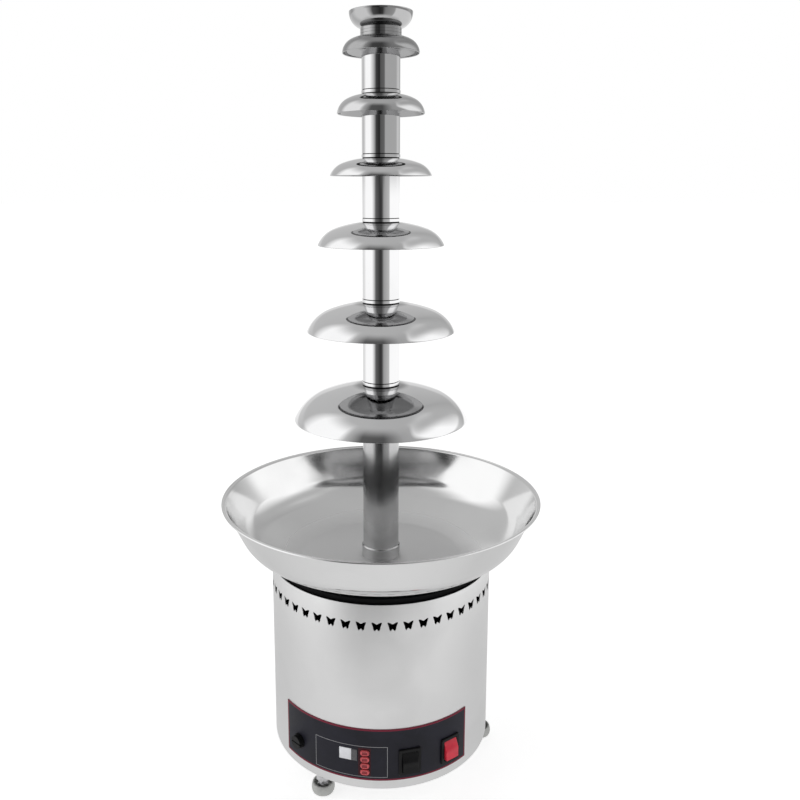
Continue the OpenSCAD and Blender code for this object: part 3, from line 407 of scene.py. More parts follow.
def mix_colour(tree, factor, a, b):
    """Output of a colour Mix node"""
    return add(tree, "Mix", {0: factor, 6: opaque(a), 7: opaque(b)}, data_type="RGBA").outputs[2]


def spread(tree, value, low, high, out_low=0.0, out_high=1.0):
    """Output of a smooth Map Range node"""
    inputs = {"Value": value, "From Min": low, "From Max": high, "To Min": out_low, "To Max": out_high}
    return add(tree, "MapRange", inputs, interpolation_type="SMOOTHSTEP").outputs["Result"]


def scaled(tint, share):
    """A tint times a share"""
    return [c * share for c in tint]


def grey(value):
    """A neutral colour"""
    return (value, value, value)


def new_group(name, inputs, output):
    """Empty node group with float or vector inputs and one float output"""
    group = bpy.data.node_groups.new(name, "ShaderNodeTree")
    for label, kind in inputs:
        group.interface.new_socket(label, in_out="INPUT", socket_type="NodeSocket" + kind)
    group.interface.new_socket(output, in_out="OUTPUT", socket_type="NodeSocketFloat")
    return group, group.nodes.new("NodeGroupInput").outputs, group.nodes.new("NodeGroupOutput").inputs


def noise(group, vector, scale, **more):
    """Output of a Noise Texture"""
    return add(group, "TexNoise", {"Vector": vector, "Scale": scale, **more}).outputs[0]


def spun_grain_group():
    """Fine rings left by turning or spinning, round the fountain's axis: noise over radius and height, which
    changes slowly along each ring"""
    group, given, out = new_group("Spun grain", (("Vector", "Vector"), ("Density", "Float")), "Streak")
    along_ring = 0.0012
    x, y, z = add(group, "SeparateXYZ", {0: given["Vector"]}).outputs
    radius = math_node(group, "SQRT", linear(group, x, x, times(group, y, y)))
    turn = times(group, math_node(group, "ARCTAN2", x, y), along_ring)
    where = add(group, "CombineXYZ", {0: radius, 1: turn, 2: z}).outputs[0]
    group.links.new(noise(group, where, given["Density"], Detail=3.0, Roughness=0.6), out["Streak"])
    return group


def handling_group():
    """Broad soft clouds, as handling and wiping leave on steel and plastic"""
    group, given, out = new_group("Handling marks", (("Vector", "Vector"), ("Scale", "Float")), "Cloud")
    clouds = noise(group, given["Vector"], given["Scale"], Detail=4.0, Distortion=0.4)
    group.links.new(spread(group, clouds, 0.35, 0.7), out["Cloud"])
    return group


def moulded_group():
    """Fine pebbled skin of a moulded or painted face"""
    group, given, out = new_group("Moulded skin", (("Vector", "Vector"), ("Scale", "Float")), "Height")
    group.links.new(noise(group, given["Vector"], given["Scale"], Detail=2.0), out["Height"])
    return group


def box_mask_group():
    """1 inside a box that is printed on the panel, over the turn from the front and the height"""
    edges = ("Across", "Up", "Left", "Right", "Low", "High")
    group, given, out = new_group("Printed box", [(edge, "Float") for edge in edges], "Mask")
    sides = (("Across", "Left"), ("Right", "Across"), ("Up", "Low"), ("High", "Up"))
    left, right, low, high = [math_node(group, "GREATER_THAN", given[a], given[b]) for a, b in sides]
    mask = times(group, times(group, left, right), times(group, low, high))
    group.links.new(mask, out["Mask"])
    return group


GROUPS = {
    "spun": spun_grain_group,
    "handling": handling_group,
    "moulded": moulded_group,
    "box": box_mask_group,
}


def use_group(tree, kind, **inputs):
    """Output of a shared effect, whose group is built the first time"""
    if not isinstance(GROUPS[kind], bpy.types.NodeTree):
        GROUPS[kind] = GROUPS[kind]()
    return add(tree, "Group", inputs, node_tree=GROUPS[kind]).outputs[0]


def new_material(name):
    """Material with its tree, its shader and the Object coordinates"""
    material = bpy.data.materials.new(name)
    material.use_nodes = True
    tree = material.node_tree
    return material, tree, tree.nodes["Principled BSDF"], add(tree, "TexCoord").outputs["Object"]


def bump(tree, shader, height, strength, distance):
    """Feeds a height into the shader's normal"""
    node = add(tree, "Bump", {"Height": height, "Strength": strength, "Distance": distance})
    tree.links.new(node.outputs[0], shader.inputs["Normal"])


RING_DEPTH = 0.00004
SKIN_DEPTH = 0.0001
STEEL_CLOUDS, PLASTIC_CLOUDS, FILM_CLOUDS = 9.0, 40.0, 30.0
RING_SHARE, CLOUD_SHARE = 0.6, 0.4
WIPED_STEEL = 0.95
WORN_TINT, WORN_LIFT, WORN_GLOSS = 1.3, 0.001, 1.3


def steel(name, tint, rough, rough_spread, density, relief, core=None):
    """Steel that was turned round the fountain's axis: rings in gloss and relief, wiping marks, faint tint
    changes. A core (share, more, near, far) darkens it to that share of the tint, which on the caps is
    painted shade round the tube, and roughens it by that much more inside the radius near, and not at all
    outside far."""
    material, tree, shader, where = new_material(name)
    streak = use_group(tree, "spun", Vector=where, Density=density)
    cloud = use_group(tree, "handling", Vector=where, Scale=STEEL_CLOUDS)
    both = linear(tree, streak, RING_SHARE, times(tree, cloud, CLOUD_SHARE))
    gloss = spread(tree, both, 0.1, 0.9, rough - rough_spread, rough + rough_spread)
    colour = mix_colour(tree, cloud, tint, scaled(tint, WIPED_STEEL))
    # A core's darker tint is painted shade, as the caps have round their tube; the bowl's core only roughens
    if core:
        share, more, near, far = core
        flat = add(tree, "VectorMath", {0: where, 1: (1, 1, 0)}, operation="MULTIPLY").outputs[0]
        radius = add(tree, "VectorMath", {0: flat}, operation="LENGTH").outputs["Value"]
        colour = mix_colour(tree, spread(tree, radius, near, far, 1.0, 0.0), colour, scaled(tint, share))
        gloss = math_node(tree, "ADD", gloss, spread(tree, radius, near, far, more, 0.0))
    tree.links.new(gloss, shader.inputs["Roughness"])
    tree.links.new(colour, shader.inputs["Base Color"])
    shader.inputs["Metallic"].default_value = 1.0
    bump(tree, shader, streak, relief, RING_DEPTH)
    return material


def plastic(name, tint, rough, scale, relief, coat=0.0, metal=0.0, shine=0.5):
    """Moulded plastic or paint: pebbled skin, wiping marks in gloss and shade"""
    material, tree, shader, where = new_material(name)
    cloud = use_group(tree, "handling", Vector=where, Scale=PLASTIC_CLOUDS)
    worn = [min(1.0, c * WORN_TINT + WORN_LIFT) for c in tint]
    tree.links.new(mix_colour(tree, cloud, tint, worn), shader.inputs["Base Color"])
    tree.links.new(spread(tree, cloud, 0.0, 1.0, rough, rough * WORN_GLOSS), shader.inputs["Roughness"])
    shader.inputs["Metallic"].default_value = metal
    shader.inputs["Coat Weight"].default_value = coat
    shader.inputs["Specular IOR Level"].default_value = shine
    bump(tree, shader, use_group(tree, "moulded", Vector=where, Scale=scale), relief, SKIN_DEPTH)
    return material


# Printed marks in degrees from the front and millimetres over the floor: left, right, low, high
PANEL_BOX = (-51.0, 51.0, *[z / MM for z in node_heights("control_panel")])
FRAME_BOX = (-29.8, 7.2, 42.0, 86.6)
KEY_STRIP = (-7.0, -0.9, 44.0, 84.0)
BORDER_WIDTH = 2.3
RULE_WIDTH = 0.65
RULE_GREY = (0.32, 0.32, 0.33)
STRIP_RED = (0.05, 0.006, 0.010)
WORN_FILM = 1.5
PANEL_FACE_MM = 156.9
PANEL_FACE = PANEL_FACE_MM * MM


def panel_film(tint, border):
    """Printed film: dark ground, a red border, a thin framed box and a red strip under the keys"""
    material, tree, shader, where = new_material("panel_film")
    part = add(tree, "SeparateXYZ", {0: where}).outputs
    across = times(tree, turn_from_front(tree, part), 180 / math.pi)
    up = times(tree, part[2], 1 / MM)

    def box(left, right, low, high, inset=0.0):
        turn_inset = math.degrees(inset / PANEL_FACE_MM)
        return use_group(tree, "box", Across=across, Up=up, Left=left + turn_inset, Right=right - turn_inset,
                         Low=low + inset, High=high - inset)

    inner = box(*PANEL_BOX, BORDER_WIDTH)
    rule = math_node(tree, "SUBTRACT", box(*FRAME_BOX), box(*FRAME_BOX, RULE_WIDTH))
    cloud = use_group(tree, "handling", Vector=where, Scale=FILM_CLOUDS)
    ground = mix_colour(tree, cloud, tint, scaled(tint, WORN_FILM))
    ruled = mix_colour(tree, rule, ground, RULE_GREY)
    striped = mix_colour(tree, box(*KEY_STRIP), ruled, STRIP_RED)
    tree.links.new(mix_colour(tree, inner, border, striped), shader.inputs["Base Color"])
    tree.links.new(spread(tree, cloud, 0.0, 1.0, 0.4, 0.5), shader.inputs["Roughness"])
    shader.inputs["Specular IOR Level"].default_value = 0.2
    bump(tree, shader, use_group(tree, "moulded", Vector=where, Scale=1400.0), 0.08, SKIN_DEPTH)
    return material


# Turned steels: property of the tint, share of it, roughness, its spread, density of the rings, relief, core
STEELS = {
    "foot_steel": ("steel", 0.64, 0.16, 0.04, 700.0, 0.03),
    "crown_steel": ("steel", 0.56, 0.05, 0.03, 900.0, 0.05),
    "tube_steel": ("steel", 1.0, 0.03, 0.02, 700.0, 0.02),
    "bowl_steel": ("satin", 1.0, 0.13, 0.05, 1500.0, 0.15, (1.0, 0.42, 0.11, 0.16)),
    "shell_steel": ("satin", 1.0, 0.36, 0.06, 2200.0, 0.3),
    "auger_steel": ("satin", 1.0, 0.2, 0.06, 900.0, 0.15),
}
# Plastics, paints and small metal pieces: tint or its property, roughness, scale of the skin, relief, more
PLASTICS = {
    "bare_steel": ((0.62, 0.62, 0.63), 0.3, 1500.0, 0.15, {"metal": 1.0}),
    "foot_grey": ((0.46, 0.465, 0.45), 0.42, 700.0, 0.4, {"metal": 0.6}),
    # Black of the seat ring, also put on the collar grooves and the shell's inside as painted shade
    "seat_black": ((0.003, 0.003, 0.0035), 0.6, 700.0, 0.25, {"shine": 0.12}),
    "switch_black": ((0.004, 0.004, 0.0045), 0.36, 1200.0, 0.2, {"shine": 0.2}),
    "rocker_red": ("rocker", 0.3, 1600.0, 0.05, {"coat": 0.15, "shine": 0.3}),
    "key_ring": ("key_ring", 0.3, 1600.0, 0.05, {}),
    "key_centre": ("key_centre", 0.3, 1600.0, 0.05, {}),
    # Light left part of the display window: painted glare on the glass
    "window_light": ((0.72, 0.73, 0.76), 0.12, 1600.0, 0.02, {"coat": 0.3}),
    "window_dark": ((0.06, 0.06, 0.065), 0.15, 1600.0, 0.02, {"coat": 0.3}),
    "bush_polymer": ((0.80, 0.76, 0.66), 0.45, 900.0, 0.25, {}),
    "seal_silicone": ((0.82, 0.82, 0.80), 0.55, 900.0, 0.25, {}),
    "heater_sheath": ((0.10, 0.09, 0.09), 0.5, 1200.0, 0.25, {"metal": 0.7}),
    "probe_brass": ((0.72, 0.52, 0.22), 0.3, 1200.0, 0.1, {"metal": 1.0}),
    "cast_alloy": ((0.16, 0.16, 0.17), 0.6, 500.0, 0.5, {"metal": 0.4}),
    "motor_paint": ((0.03, 0.03, 0.032), 0.35, 800.0, 0.3, {}),
    "board_green": ((0.02, 0.14, 0.06), 0.4, 800.0, 0.25, {}),
    "block_white": ((0.82, 0.82, 0.80), 0.4, 900.0, 0.25, {}),
}
FINISHES = {}


def make_finish(name):
    """New material for a finish"""
    tints = bpy.context.scene.fountain_finish
    if name == "panel_film":
        return panel_film(tints.film, tints.border)
    if name in STEELS:
        tint, share, *values = STEELS[name]
        return steel(name, scaled(getattr(tints, tint), share), *values)
    tint, rough, scale, relief, more = PLASTICS[name]
    if isinstance(tint, str):
        tint = getattr(tints, tint)
    return plastic(name, tint, rough, scale, relief, **more)


def finish(name):
    """A finish by name, made the first time"""
    if name not in FINISHES:
        FINISHES[name] = make_finish(name)
    return FINISHES[name]


def refinish(node, name):
    """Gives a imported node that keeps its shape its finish"""
    NODES[node].data.materials.clear()
    NODES[node].data.materials.append(finish(name))


UPPER_WIDTH = 0.6
UPPER_TURN = 0.75
DOME_STEPS = 28


def dome_profile(rim, height, top, hub, sleeve_out, sleeve_in, sleeve_len, sheet, slope):
    """Section of a dome cap: a flat hub, two tangent arcs to the rim, a rounded edge, and back on the inside
    to the sleeve through the hub. The upper arc has its share of the width, and turns by its share of the
    chord's angle."""
    width = rim - hub
    turn_1 = UPPER_TURN * math.degrees(math.atan2(height, width))
    width_1 = UPPER_WIDTH * width
    radius_1 = width_1 / (sin(turn_1) - sin(slope))
    height_1 = radius_1 * (cos(slope) - cos(turn_1))
    turn_2 = 2 * math.degrees(math.atan2(height - height_1, width - width_1)) - turn_1
    radius_2 = (width - width_1) / (sin(turn_2) - sin(turn_1))
    centre_1 = (hub - radius_1 * sin(slope), top - radius_1 * cos(slope))
    centre_2 = (hub + width_1 - radius_2 * sin(turn_1), top - height_1 - radius_2 * cos(turn_1))
    edge = arc(centre_2, radius_2 - sheet / 2, turn_2, turn_2, 1)[0]
    under = top - sheet
    return np.vstack((
        line((sleeve_in, top + sleeve_len), (sleeve_out, top + sleeve_len), (sleeve_out, top)),
        arc(centre_1, radius_1, slope, turn_1, DOME_STEPS),
        arc(centre_2, radius_2, turn_1, turn_2, DOME_STEPS)[1:],
        arc(edge, sheet / 2, turn_2, turn_2 + 180, 10)[1:-1],
        arc(centre_2, radius_2 - sheet, turn_2, turn_1, DOME_STEPS),
        arc(centre_1, radius_1 - sheet, turn_1, slope, DOME_STEPS)[1:],
        line((sleeve_out, under), (sleeve_out, under - sleeve_len), (sleeve_in, under - sleeve_len)),
    ))


# Share of the tint outside, roughness outside, share of the tint inside, which is partly a duller unpolished
# inside and partly painted shade under the dome, and inside at the tube, a painted shade round the tube
CAP_POLISH = (
    (0.46, 0.16, 0.44, 0.1), (0.8, 0.05, 0.4, 0.12), (0.95, 0.045, 0.46, 1.0), (1.0, 0.045, 0.43, 1.0),
    (1.0, 0.045, 0.4, 1.0), (1.0, 0.045, 1.0, 1.0),
)
# Painted shade on the outside of every cap round the tube: share of the tint, more roughness, near and far
# radius
CAP_HUB_SHADE = (0.38, 0.0, 29 * MM, 42 * MM)
HUB_GAP = 0.2 * MM


class FOUNTAIN_OT_caps(bpy.types.Operator):
    """Six polished dome caps"""

    bl_idname = "fountain.caps"
    bl_label = "Dome caps"

    def execute(self, context):
        sizes = context.scene.fountain_tower
        hub = sizes.tube_radius + sizes.collar_out + HUB_GAP
        sleeve = sizes.sleeve_radius
        for i in range(1, TIERS + 1):
            low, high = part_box(f"cap_{i}")
            top = high.z - sizes.sleeve_length
            profile = dome_profile(high.x, top - low.z, top, hub, sleeve, sleeve - MM, sizes.sleeve_length,
                                   sizes.sheet, sizes.hub_slope)
            place(f"dome_cap_{i}", lathe(profile, FINE_AROUND), self.finishes(i), "tower",
                  f"cap_{i}", second=facing_down)
        return {"FINISHED"}

    def finishes(self, i):
        """Outer and inner steel of a cap: the caps differ in polish and tint, the insides are darker, partly
        as painted shade, and both sides darken round the tube as painted shade
        """
        tint = bpy.context.scene.fountain_finish.steel
        outer, rough, inner, core = CAP_POLISH[i - 1]
        inside_hub_shade = (core, 0.0, 37 * MM, 44 * MM)
        return [steel(f"cap_{i}_steel", scaled(tint, outer), rough, 0.03, 900.0, 0.05, CAP_HUB_SHADE),
                steel(f"cap_{i}_inside", scaled(tint, inner), 0.1, 0.04, 900.0, 0.1, inside_hub_shade)]


INTAKES = (90.0, 270.0)
INTAKE_WIDTH = 16 * MM
INTAKE_HEIGHT = 11 * MM
# Section of the tower's foot: shares of its height, and how far it stands out there and at the tube's top
FOOT_LEVELS = (0, 0.02, 0.2, 0.3, 0.34, 0.5, 0.65, 0.86, 0.9, 0.94, 0.98, 1.0, 1.03)
FOOT_EDGE = (0.92, 1, 1, 0.86, 0.8, 0.8, 0.8, 0.8, 0.74, 0.45, 0.12, 0.02, 0, 0)
GROOVE_DEPTH = 0.8 * MM
SEAM_HEIGHT = 1.3 * MM
# Depths of the collar's groove faces that are painted black, a painted shade line where the collar sits
SHADE_NEAR, SHADE_FAR = 0.7 * MM, 1.1 * MM
# Collar: how far its band stands out, then shares of the collar's height
BAND_OUT = 0.3
BAND_TOP, GROOVE_LOW, TUBE_LOW, SEAM_TOP = 0.86, 0.9, 1.04, 1.1


class FOUNTAIN_OT_tubes(bpy.types.Operator):
    """Tube sections with their collars, and the lowest one with its arched intakes"""

    bl_idname = "fountain.tubes"
    bl_label = "Tubes"

    def execute(self, context):
        sizes = context.scene.fountain_tower
        r, h = sizes.tube_radius, sizes.collar_height
        inside, groove, band = r - sizes.tube_wall, r - GROOVE_DEPTH, r + sizes.collar_out * BAND_OUT
        skins = [finish("tube_steel"), finish("seat_black")]
        for i in range(1, TIERS):
            low, high = node_heights(f"tube_{i}")
            seam = low + SEAM_HEIGHT

            # The groove faces take the black finish as painted shade: the dark line under each collar is
            # shade, not a part
            def in_shaded_groove(mesh):
                x, y, z = face_centres(mesh).T
                radius = np.hypot(x, y)
                return (radius > r - SHADE_FAR) & (radius < r - SHADE_NEAR) & (z < low + h * SEAM_TOP)

            profile = line(
                (inside, low), (groove, low), (groove, seam), (band, seam), (band, low + h * BAND_TOP),
                (groove, low + h * GROOVE_LOW), (groove, low + h), (r, low + h * TUBE_LOW), (r, high),
                (inside, high),
            )
            place(f"tower_tube_{i}", lathe(profile), skins, "tower", f"tube_{i}",
                  second=in_shaded_groove)
        foot = self.foot_tube(sizes, *node_heights("tube_6"))
        place("tower_tube_6", foot, [finish("foot_steel")], "tower", "tube_6")
        return {"FINISHED"}

    def foot_tube(self, sizes, low, high):
        """Tube wall over its foot: for each turn a the wall runs from the arch's height b(a) up to the top,
        P(a, t) = (r(z) sin a, -r(z) cos a, z), with z between b(a) and the top."""
        r = sizes.tube_radius
        half = math.degrees(INTAKE_WIDTH / 2 / r)
        turns = np.concatenate((np.linspace(-half, half, 41), (-half - 0.01, half + 0.01)))
        near = np.concatenate([centre + turns for centre in INTAKES])
        a = np.unique(np.concatenate((np.linspace(-180, 180, 193)[:-1], (near + 180) % 360 - 180)))
        gap = np.abs((a[:, None] - np.array(INTAKES)[None, :] + 180) % 360 - 180).min(1)
        x = np.clip(np.radians(gap) * r, 0, INTAKE_WIDTH / 2)
        rise = INTAKE_HEIGHT - INTAKE_WIDTH / 2
        arch = low + np.where(gap <= half, rise + np.sqrt((INTAKE_WIDTH / 2) ** 2 - x**2), 0.0)
        levels = np.concatenate((np.array(FOOT_LEVELS) * sizes.foot_height, (high - low,)))
        z = np.maximum(low + levels[:, None], arch[None, :])
        radius = r + sizes.foot_out * np.interp(z - low, levels, np.array(FOOT_EDGE))
        s, c = np.sin(np.radians(a))[None, :], np.cos(np.radians(a))[None, :]
        outer = np.stack((radius * s, -radius * c, z), -1).reshape(-1, 3)
        inside = np.full_like(radius, r - sizes.tube_wall)
        inner = np.stack((inside * s, -inside * c, z), -1).reshape(-1, 3)
        return thicken(outer, grid_faces(len(levels), len(a), False, True), inner)


NECK_OUT = 1.6 * MM
NECK_HEIGHT = 10.6 * MM
NECK_RINGS = (0.25, 0.6)
RING_CUT = 0.5 * MM
BELLY = 21 * MM


class FOUNTAIN_OT_crown(bpy.types.Operator):
    """Crown cup on a ringed neck"""

    bl_idname = "fountain.crown"
    bl_label = "Crown"

    def execute(self, context):
        sizes = context.scene.fountain_tower
        low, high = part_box("crown")
        bore = sizes.tube_radius - sizes.tube_wall
        neck = sizes.tube_radius + NECK_OUT
        cup = low.z + NECK_HEIGHT
        sheet = sizes.sheet
        centre_r = high.x - BELLY
        foot = math.degrees(math.acos((neck - centre_r) / BELLY))
        centre = (centre_r, cup + BELLY * sin(foot))
        top = math.degrees(math.asin((centre[1] - high.z + sheet / 2) / BELLY))
        edge = arc(centre, BELLY - sheet / 2, 90 + top, 90 + top, 1)[0]
        necking = [line((neck, low.z))]
        for share in NECK_RINGS:
            z = low.z + NECK_HEIGHT * share
            cut = neck - RING_CUT
            necking.append(line((neck, z), (cut, z + 0.3 * RING_CUT), (cut, z + 1.7 * RING_CUT),
                                (neck, z + 2 * RING_CUT)))
        profile = np.vstack((
            line((bore, low.z)), *necking,
            arc(centre, BELLY, 90 + foot, 90 + top, 30),
            arc(edge, sheet / 2, 90, -90, 10)[1:-1],
            arc(centre, BELLY - sheet, 90 + top, 90 + foot, 30),
            line((bore, cup + sheet)),
        ))
        place("crown_cup", lathe(profile), [finish("crown_steel")], "crown", "crown")
        return {"FINISHED"}


LIP_RADIUS = 3 * MM
LIP_WIDTH = 3 * MM
SHAFT_BORE = 11.2 * MM
# Bosses under the bowl's floor: radius, depth, distance from the axis, first turn, count
BOSSES = ((6 * MM, 14 * MM, 104 * MM, 45, 4), (3.2 * MM, 8.2 * MM, 63.8 * MM, 0, 3))


class FOUNTAIN_OT_bowl(bpy.types.Operator):
    """Spun bowl with a rolled lip"""

    bl_idname = "fountain.bowl"
    bl_label = "Bowl"

    def execute(self, context):
        base = context.scene.fountain_base
        sheet = context.scene.fountain_tower.sheet
        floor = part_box("tube_6")[0].z
        under = floor - sheet
        turn, slope = base.wall_slope, base.apron_slope
        ease = (base.floor_radius, under + base.ease_radius)
        less = base.ease_radius - base.bend_radius
        bend = (ease[0] + base.apron_width + less * sin(slope),
                ease[1] + base.apron_width * sin(slope) / cos(slope) - less * cos(slope))
        reach = base.bend_radius + LIP_RADIUS
        lip = (bend[0] + reach * sin(turn) + base.wall_height * cos(turn) / sin(turn),
               bend[1] - reach * cos(turn) + base.wall_height)
        bead = (lip[0] + LIP_WIDTH - base.bead_radius, lip[1] + LIP_RADIUS + sheet / 2)
        gap = math.degrees(math.asin(sheet / 2 / base.bead_radius))
        profile = np.vstack((
            line((SHAFT_BORE, under)),
            arc(ease, base.ease_radius, 180, 180 - slope, 12),
            arc(bend, base.bend_radius, 180 - slope, 180 - turn, 32),
            arc(lip, LIP_RADIUS, -turn, 0, 14),
            arc(bead, base.bead_radius, 270 - gap, -90 + gap, 30),
            arc(lip, LIP_RADIUS + sheet, 0, -turn, 14),
            arc(bend, base.bend_radius - sheet, 180 - turn, 180 - slope, 32),
            arc(ease, base.ease_radius - sheet, 180 - slope, 180, 12),
            line((SHAFT_BORE, floor)),
        ))
        surface = joined(lathe(profile, FINE_AROUND), *self.bosses(under, under + sheet / 2))
        place("spun_bowl", surface, [finish("bowl_steel")], "base", "bowl")
        return {"FINISHED"}

    def bosses(self, under, top):
        """Bosses under the floor: four for the bolts, three for the heater"""
        made = []
        for r, depth, distance, first, count in BOSSES:
            section = line((0, under - depth), (r, under - depth), (r, top), (0, top))
            for k in range(count):
                a = first + 360 / count * k
                made.append(lathe(section, 32, (distance * cos(a), distance * sin(a))))
        return made


# Right half of a butterfly, as shares of half its width and half its height
WING = line(
    (0.0, 0.53), (0.08, 0.56), (0.34, 0.74), (0.66, 0.93), (1.0, 1.0), (0.95, 0.62), (0.82, 0.24),
    (0.7, -0.12), (0.68, -0.46), (0.52, -0.9), (0.32, -1.0), (0.13, -0.62), (0.0, -0.58),
)
VENT_BAND = 9 * MM
FLANGE_WIDTH = 22 * MM
FLANGE_GAP = 0.02 * MM
FUSE_TURN, MOTOR_TURN, POWER_TURN = -41.0, 18.0, 40.0
DISPLAY_TURN, KEY_TURN = -12.0, -3.765
CONTROL_Z = sum(node_heights("power_switch_housing")) / 2
DISPLAY_Z = sum(node_heights("display")) / 2
# Holes behind the panel: turn from the front, half width and half height in millimetres
CONTROL_HOLES = (
    (-8.6, 26.8, 20.4), (MOTOR_TURN, 13.1, 16.2), (POWER_TURN, 13.1, 16.2), (FUSE_TURN, 7.7, 7.7),
)


class FOUNTAIN_OT_shell(bpy.types.Operator):
    """Rolled steel shell with a row of butterfly vents, control holes and a flange turned in below"""

    bl_idname = "fountain.shell"
    bl_label = "Shell"

    def execute(self, context):
        base = context.scene.fountain_base
        sheet = context.scene.fountain_tower.sheet
        low, high = node_heights("shell")
        r, count = base.shell_radius, base.vent_count
        whole = 2 * math.pi * r
        pitch = whole / count
        vent = high - base.vent_drop
        below, above = vent - VENT_BAND, vent + VENT_BAND
        wing = WING * (base.vent_width / 2, base.vent_height / 2)
        butterfly = np.vstack((wing, wing[-2:0:-1] * (-1, 1)))
        first = math.radians(base.vent_turn) * r
        cells = [(first + (k - 0.5) * pitch, first + (k + 0.5) * pitch, below, above, butterfly)
                 for k in range(-(count // 2), count - count // 2)]
        across = first + np.linspace(-whole / 2 - pitch / 2, whole / 2 - pitch / 2, count * 12 + 1)
        levels = (np.linspace(low, below, 40), np.linspace(below, above, 13), (high,))
        up = np.unique(np.round(np.concatenate(levels), 7))
        flat, faces = holed_sheet(across, up, cells)
        x, z = flat[faces].mean(1).T
        cut = np.zeros(len(faces), bool)
        for degrees, half_w, half_h in CONTROL_HOLES:
            beside = np.abs(x - math.radians(degrees) * r) < half_w * MM
            cut |= beside & (np.abs(z - CONTROL_Z) < half_h * MM)
        inner = on_cylinder(flat * (1 - sheet / r, 1), r - sheet)
        wall = thicken(on_cylinder(flat, r), faces[~cut], inner)
        edge, end = r - FLANGE_WIDTH, r - FLANGE_GAP
        flange = lathe(line((edge, low), (end, low), (end, low + sheet), (edge, low + sheet)))

        # The shell's inside takes the black finish as painted shade inside the closed base, seen through the
        # vents
        def shaded_inside(mesh):
            x, y, z = face_centres(mesh).T
            return (np.hypot(x, y) < r - 0.9 * sheet) & (z > low + 2 * sheet)

        place("shell_wall", joined(wall, flange), [finish("shell_steel"), finish("seat_black")], "base",
              "shell", second=shaded_inside)
        return {"FINISHED"}


KEYS = 4
KEY_PITCH = 9.3 * MM
KEY_HALF_W, KEY_HALF_H, KEY_CORNER = 6 * MM, 3.65 * MM, 3.64 * MM
KEY_FLANGE = 0.8 * MM
KEY_STEPS = 12
KEY_TOP = 2 * MM
DISH_W, DISH_H, DISH_CORNER, DISH_REACH = 0.62, 0.55, 0.549, 0.56
DISH_OUT = 158.0 * MM
STEM_HALF, STEM_CORNER = 2 * MM, 1.99 * MM
STEM_END, FLANGE_BACK, FLANGE_FRONT = -3.4 * MM, -1.9 * MM, -1.15 * MM
DISPLAY_FACE = 157.4 * MM
DISPLAY_HALF_W, DISPLAY_HALF_H = 12.25 * MM, 8.25 * MM
DISPLAY_SPLIT = 4.2 * MM
DISPLAY_BACK = -4.6 * MM
DISPLAY_EDGE = 0.4 * MM


class FOUNTAIN_OT_panel(bpy.types.Operator):
    """Printed panel film, display window and push keys"""

    bl_idname = "fountain.panel"
    bl_label = "Panel"

    def execute(self, context):
        refinish("control_panel", "panel_film")
        self.display()
        for i in range(1, KEYS + 1):
            self.key(i)
        return {"FINISHED"}

    def display(self):
        """Window block: a rounded front with a light left part, a painted glare, and a dark right part"""
        light, dark = (DISPLAY_HALF_W + DISPLAY_SPLIT) / 2, (DISPLAY_HALF_W - DISPLAY_SPLIT) / 2
        for x, w, name in ((light - DISPLAY_HALF_W, light, "window_light"), (light, dark, "window_dark")):
            centre = np.array((x, 0))
            outline = rounded_box(w, DISPLAY_HALF_H, 0.5 * MM, 4) + centre
            inset = (outline - centre) * (1 - DISPLAY_EDGE / w) + centre
            zero = np.tile(centre, (len(outline), 1))
            block = stacked(((zero, DISPLAY_BACK), (outline, DISPLAY_BACK), (outline, -DISPLAY_EDGE),
                             (inset, 0.0), (zero, 0.0)))
            place("display_" + name, at_panel(block, DISPLAY_TURN, DISPLAY_Z, DISPLAY_FACE), [finish(name)],
                  "base", "display")

    def key(self, i):
        """Oval key: a rim that rounds over into a dished centre, on a flange and a stem"""
        w, h, lip = KEY_HALF_W, KEY_HALF_H, KEY_FLANGE
        outline = rounded_box(w, h, KEY_CORNER, KEY_STEPS)
        flange = rounded_box(w + lip, h + lip, KEY_CORNER + lip, KEY_STEPS)
        zero = np.zeros_like(outline)
        dish = rounded_box(w * DISH_W, h * DISH_H, h * DISH_CORNER, KEY_STEPS)
        stem = rounded_box(STEM_HALF, STEM_HALF, STEM_CORNER, KEY_STEPS)
        surface = stacked((
            (zero, STEM_END), (stem, STEM_END), (stem, FLANGE_BACK), (flange, FLANGE_BACK),
            (flange, FLANGE_FRONT), (outline, FLANGE_FRONT), (outline, KEY_TOP - 0.9 * MM),
            (outline * 0.97, KEY_TOP - 0.35 * MM), (outline * 0.90, KEY_TOP), (dish * 1.12, KEY_TOP),
            (dish, KEY_TOP - 0.3 * MM), (dish * 0.6, KEY_TOP - 0.55 * MM), (zero, KEY_TOP - 0.6 * MM),
        ))
        height = CONTROL_Z + ((KEYS + 1) / 2 - i) * KEY_PITCH

        def in_dish(mesh):
            x, y, z = face_centres(mesh).T
            along = x * cos(KEY_TURN) + y * sin(KEY_TURN)
            out = x * sin(KEY_TURN) - y * cos(KEY_TURN)
            return (np.abs(along) < w * DISH_W) & (np.abs(z - height) < h * DISH_REACH) & (out > DISH_OUT)

        place(f"key_{i}", at_panel(surface, KEY_TURN, height, PANEL_FACE),
              [finish("key_ring"), finish("key_centre")], f"button_{i}", f"button_{i}",
              second=in_dish)


SWITCHES = (("power", POWER_TURN, "rocker_red"), ("motor", MOTOR_TURN, "switch_black"))
# Half width, half height, corner radius and steps of a corner
WELL_BOX = (10.7 * MM, 13.9 * MM, 0.4 * MM, 4)
BEZEL_BOX = (15.0 * MM, 18.2 * MM, 1.6 * MM, 4)
BEZEL_TOP, WELL_FLOOR, HOUSING_BACK, BEZEL_BACK = 2.6 * MM, -13.3 * MM, -24 * MM, 0.1 * MM
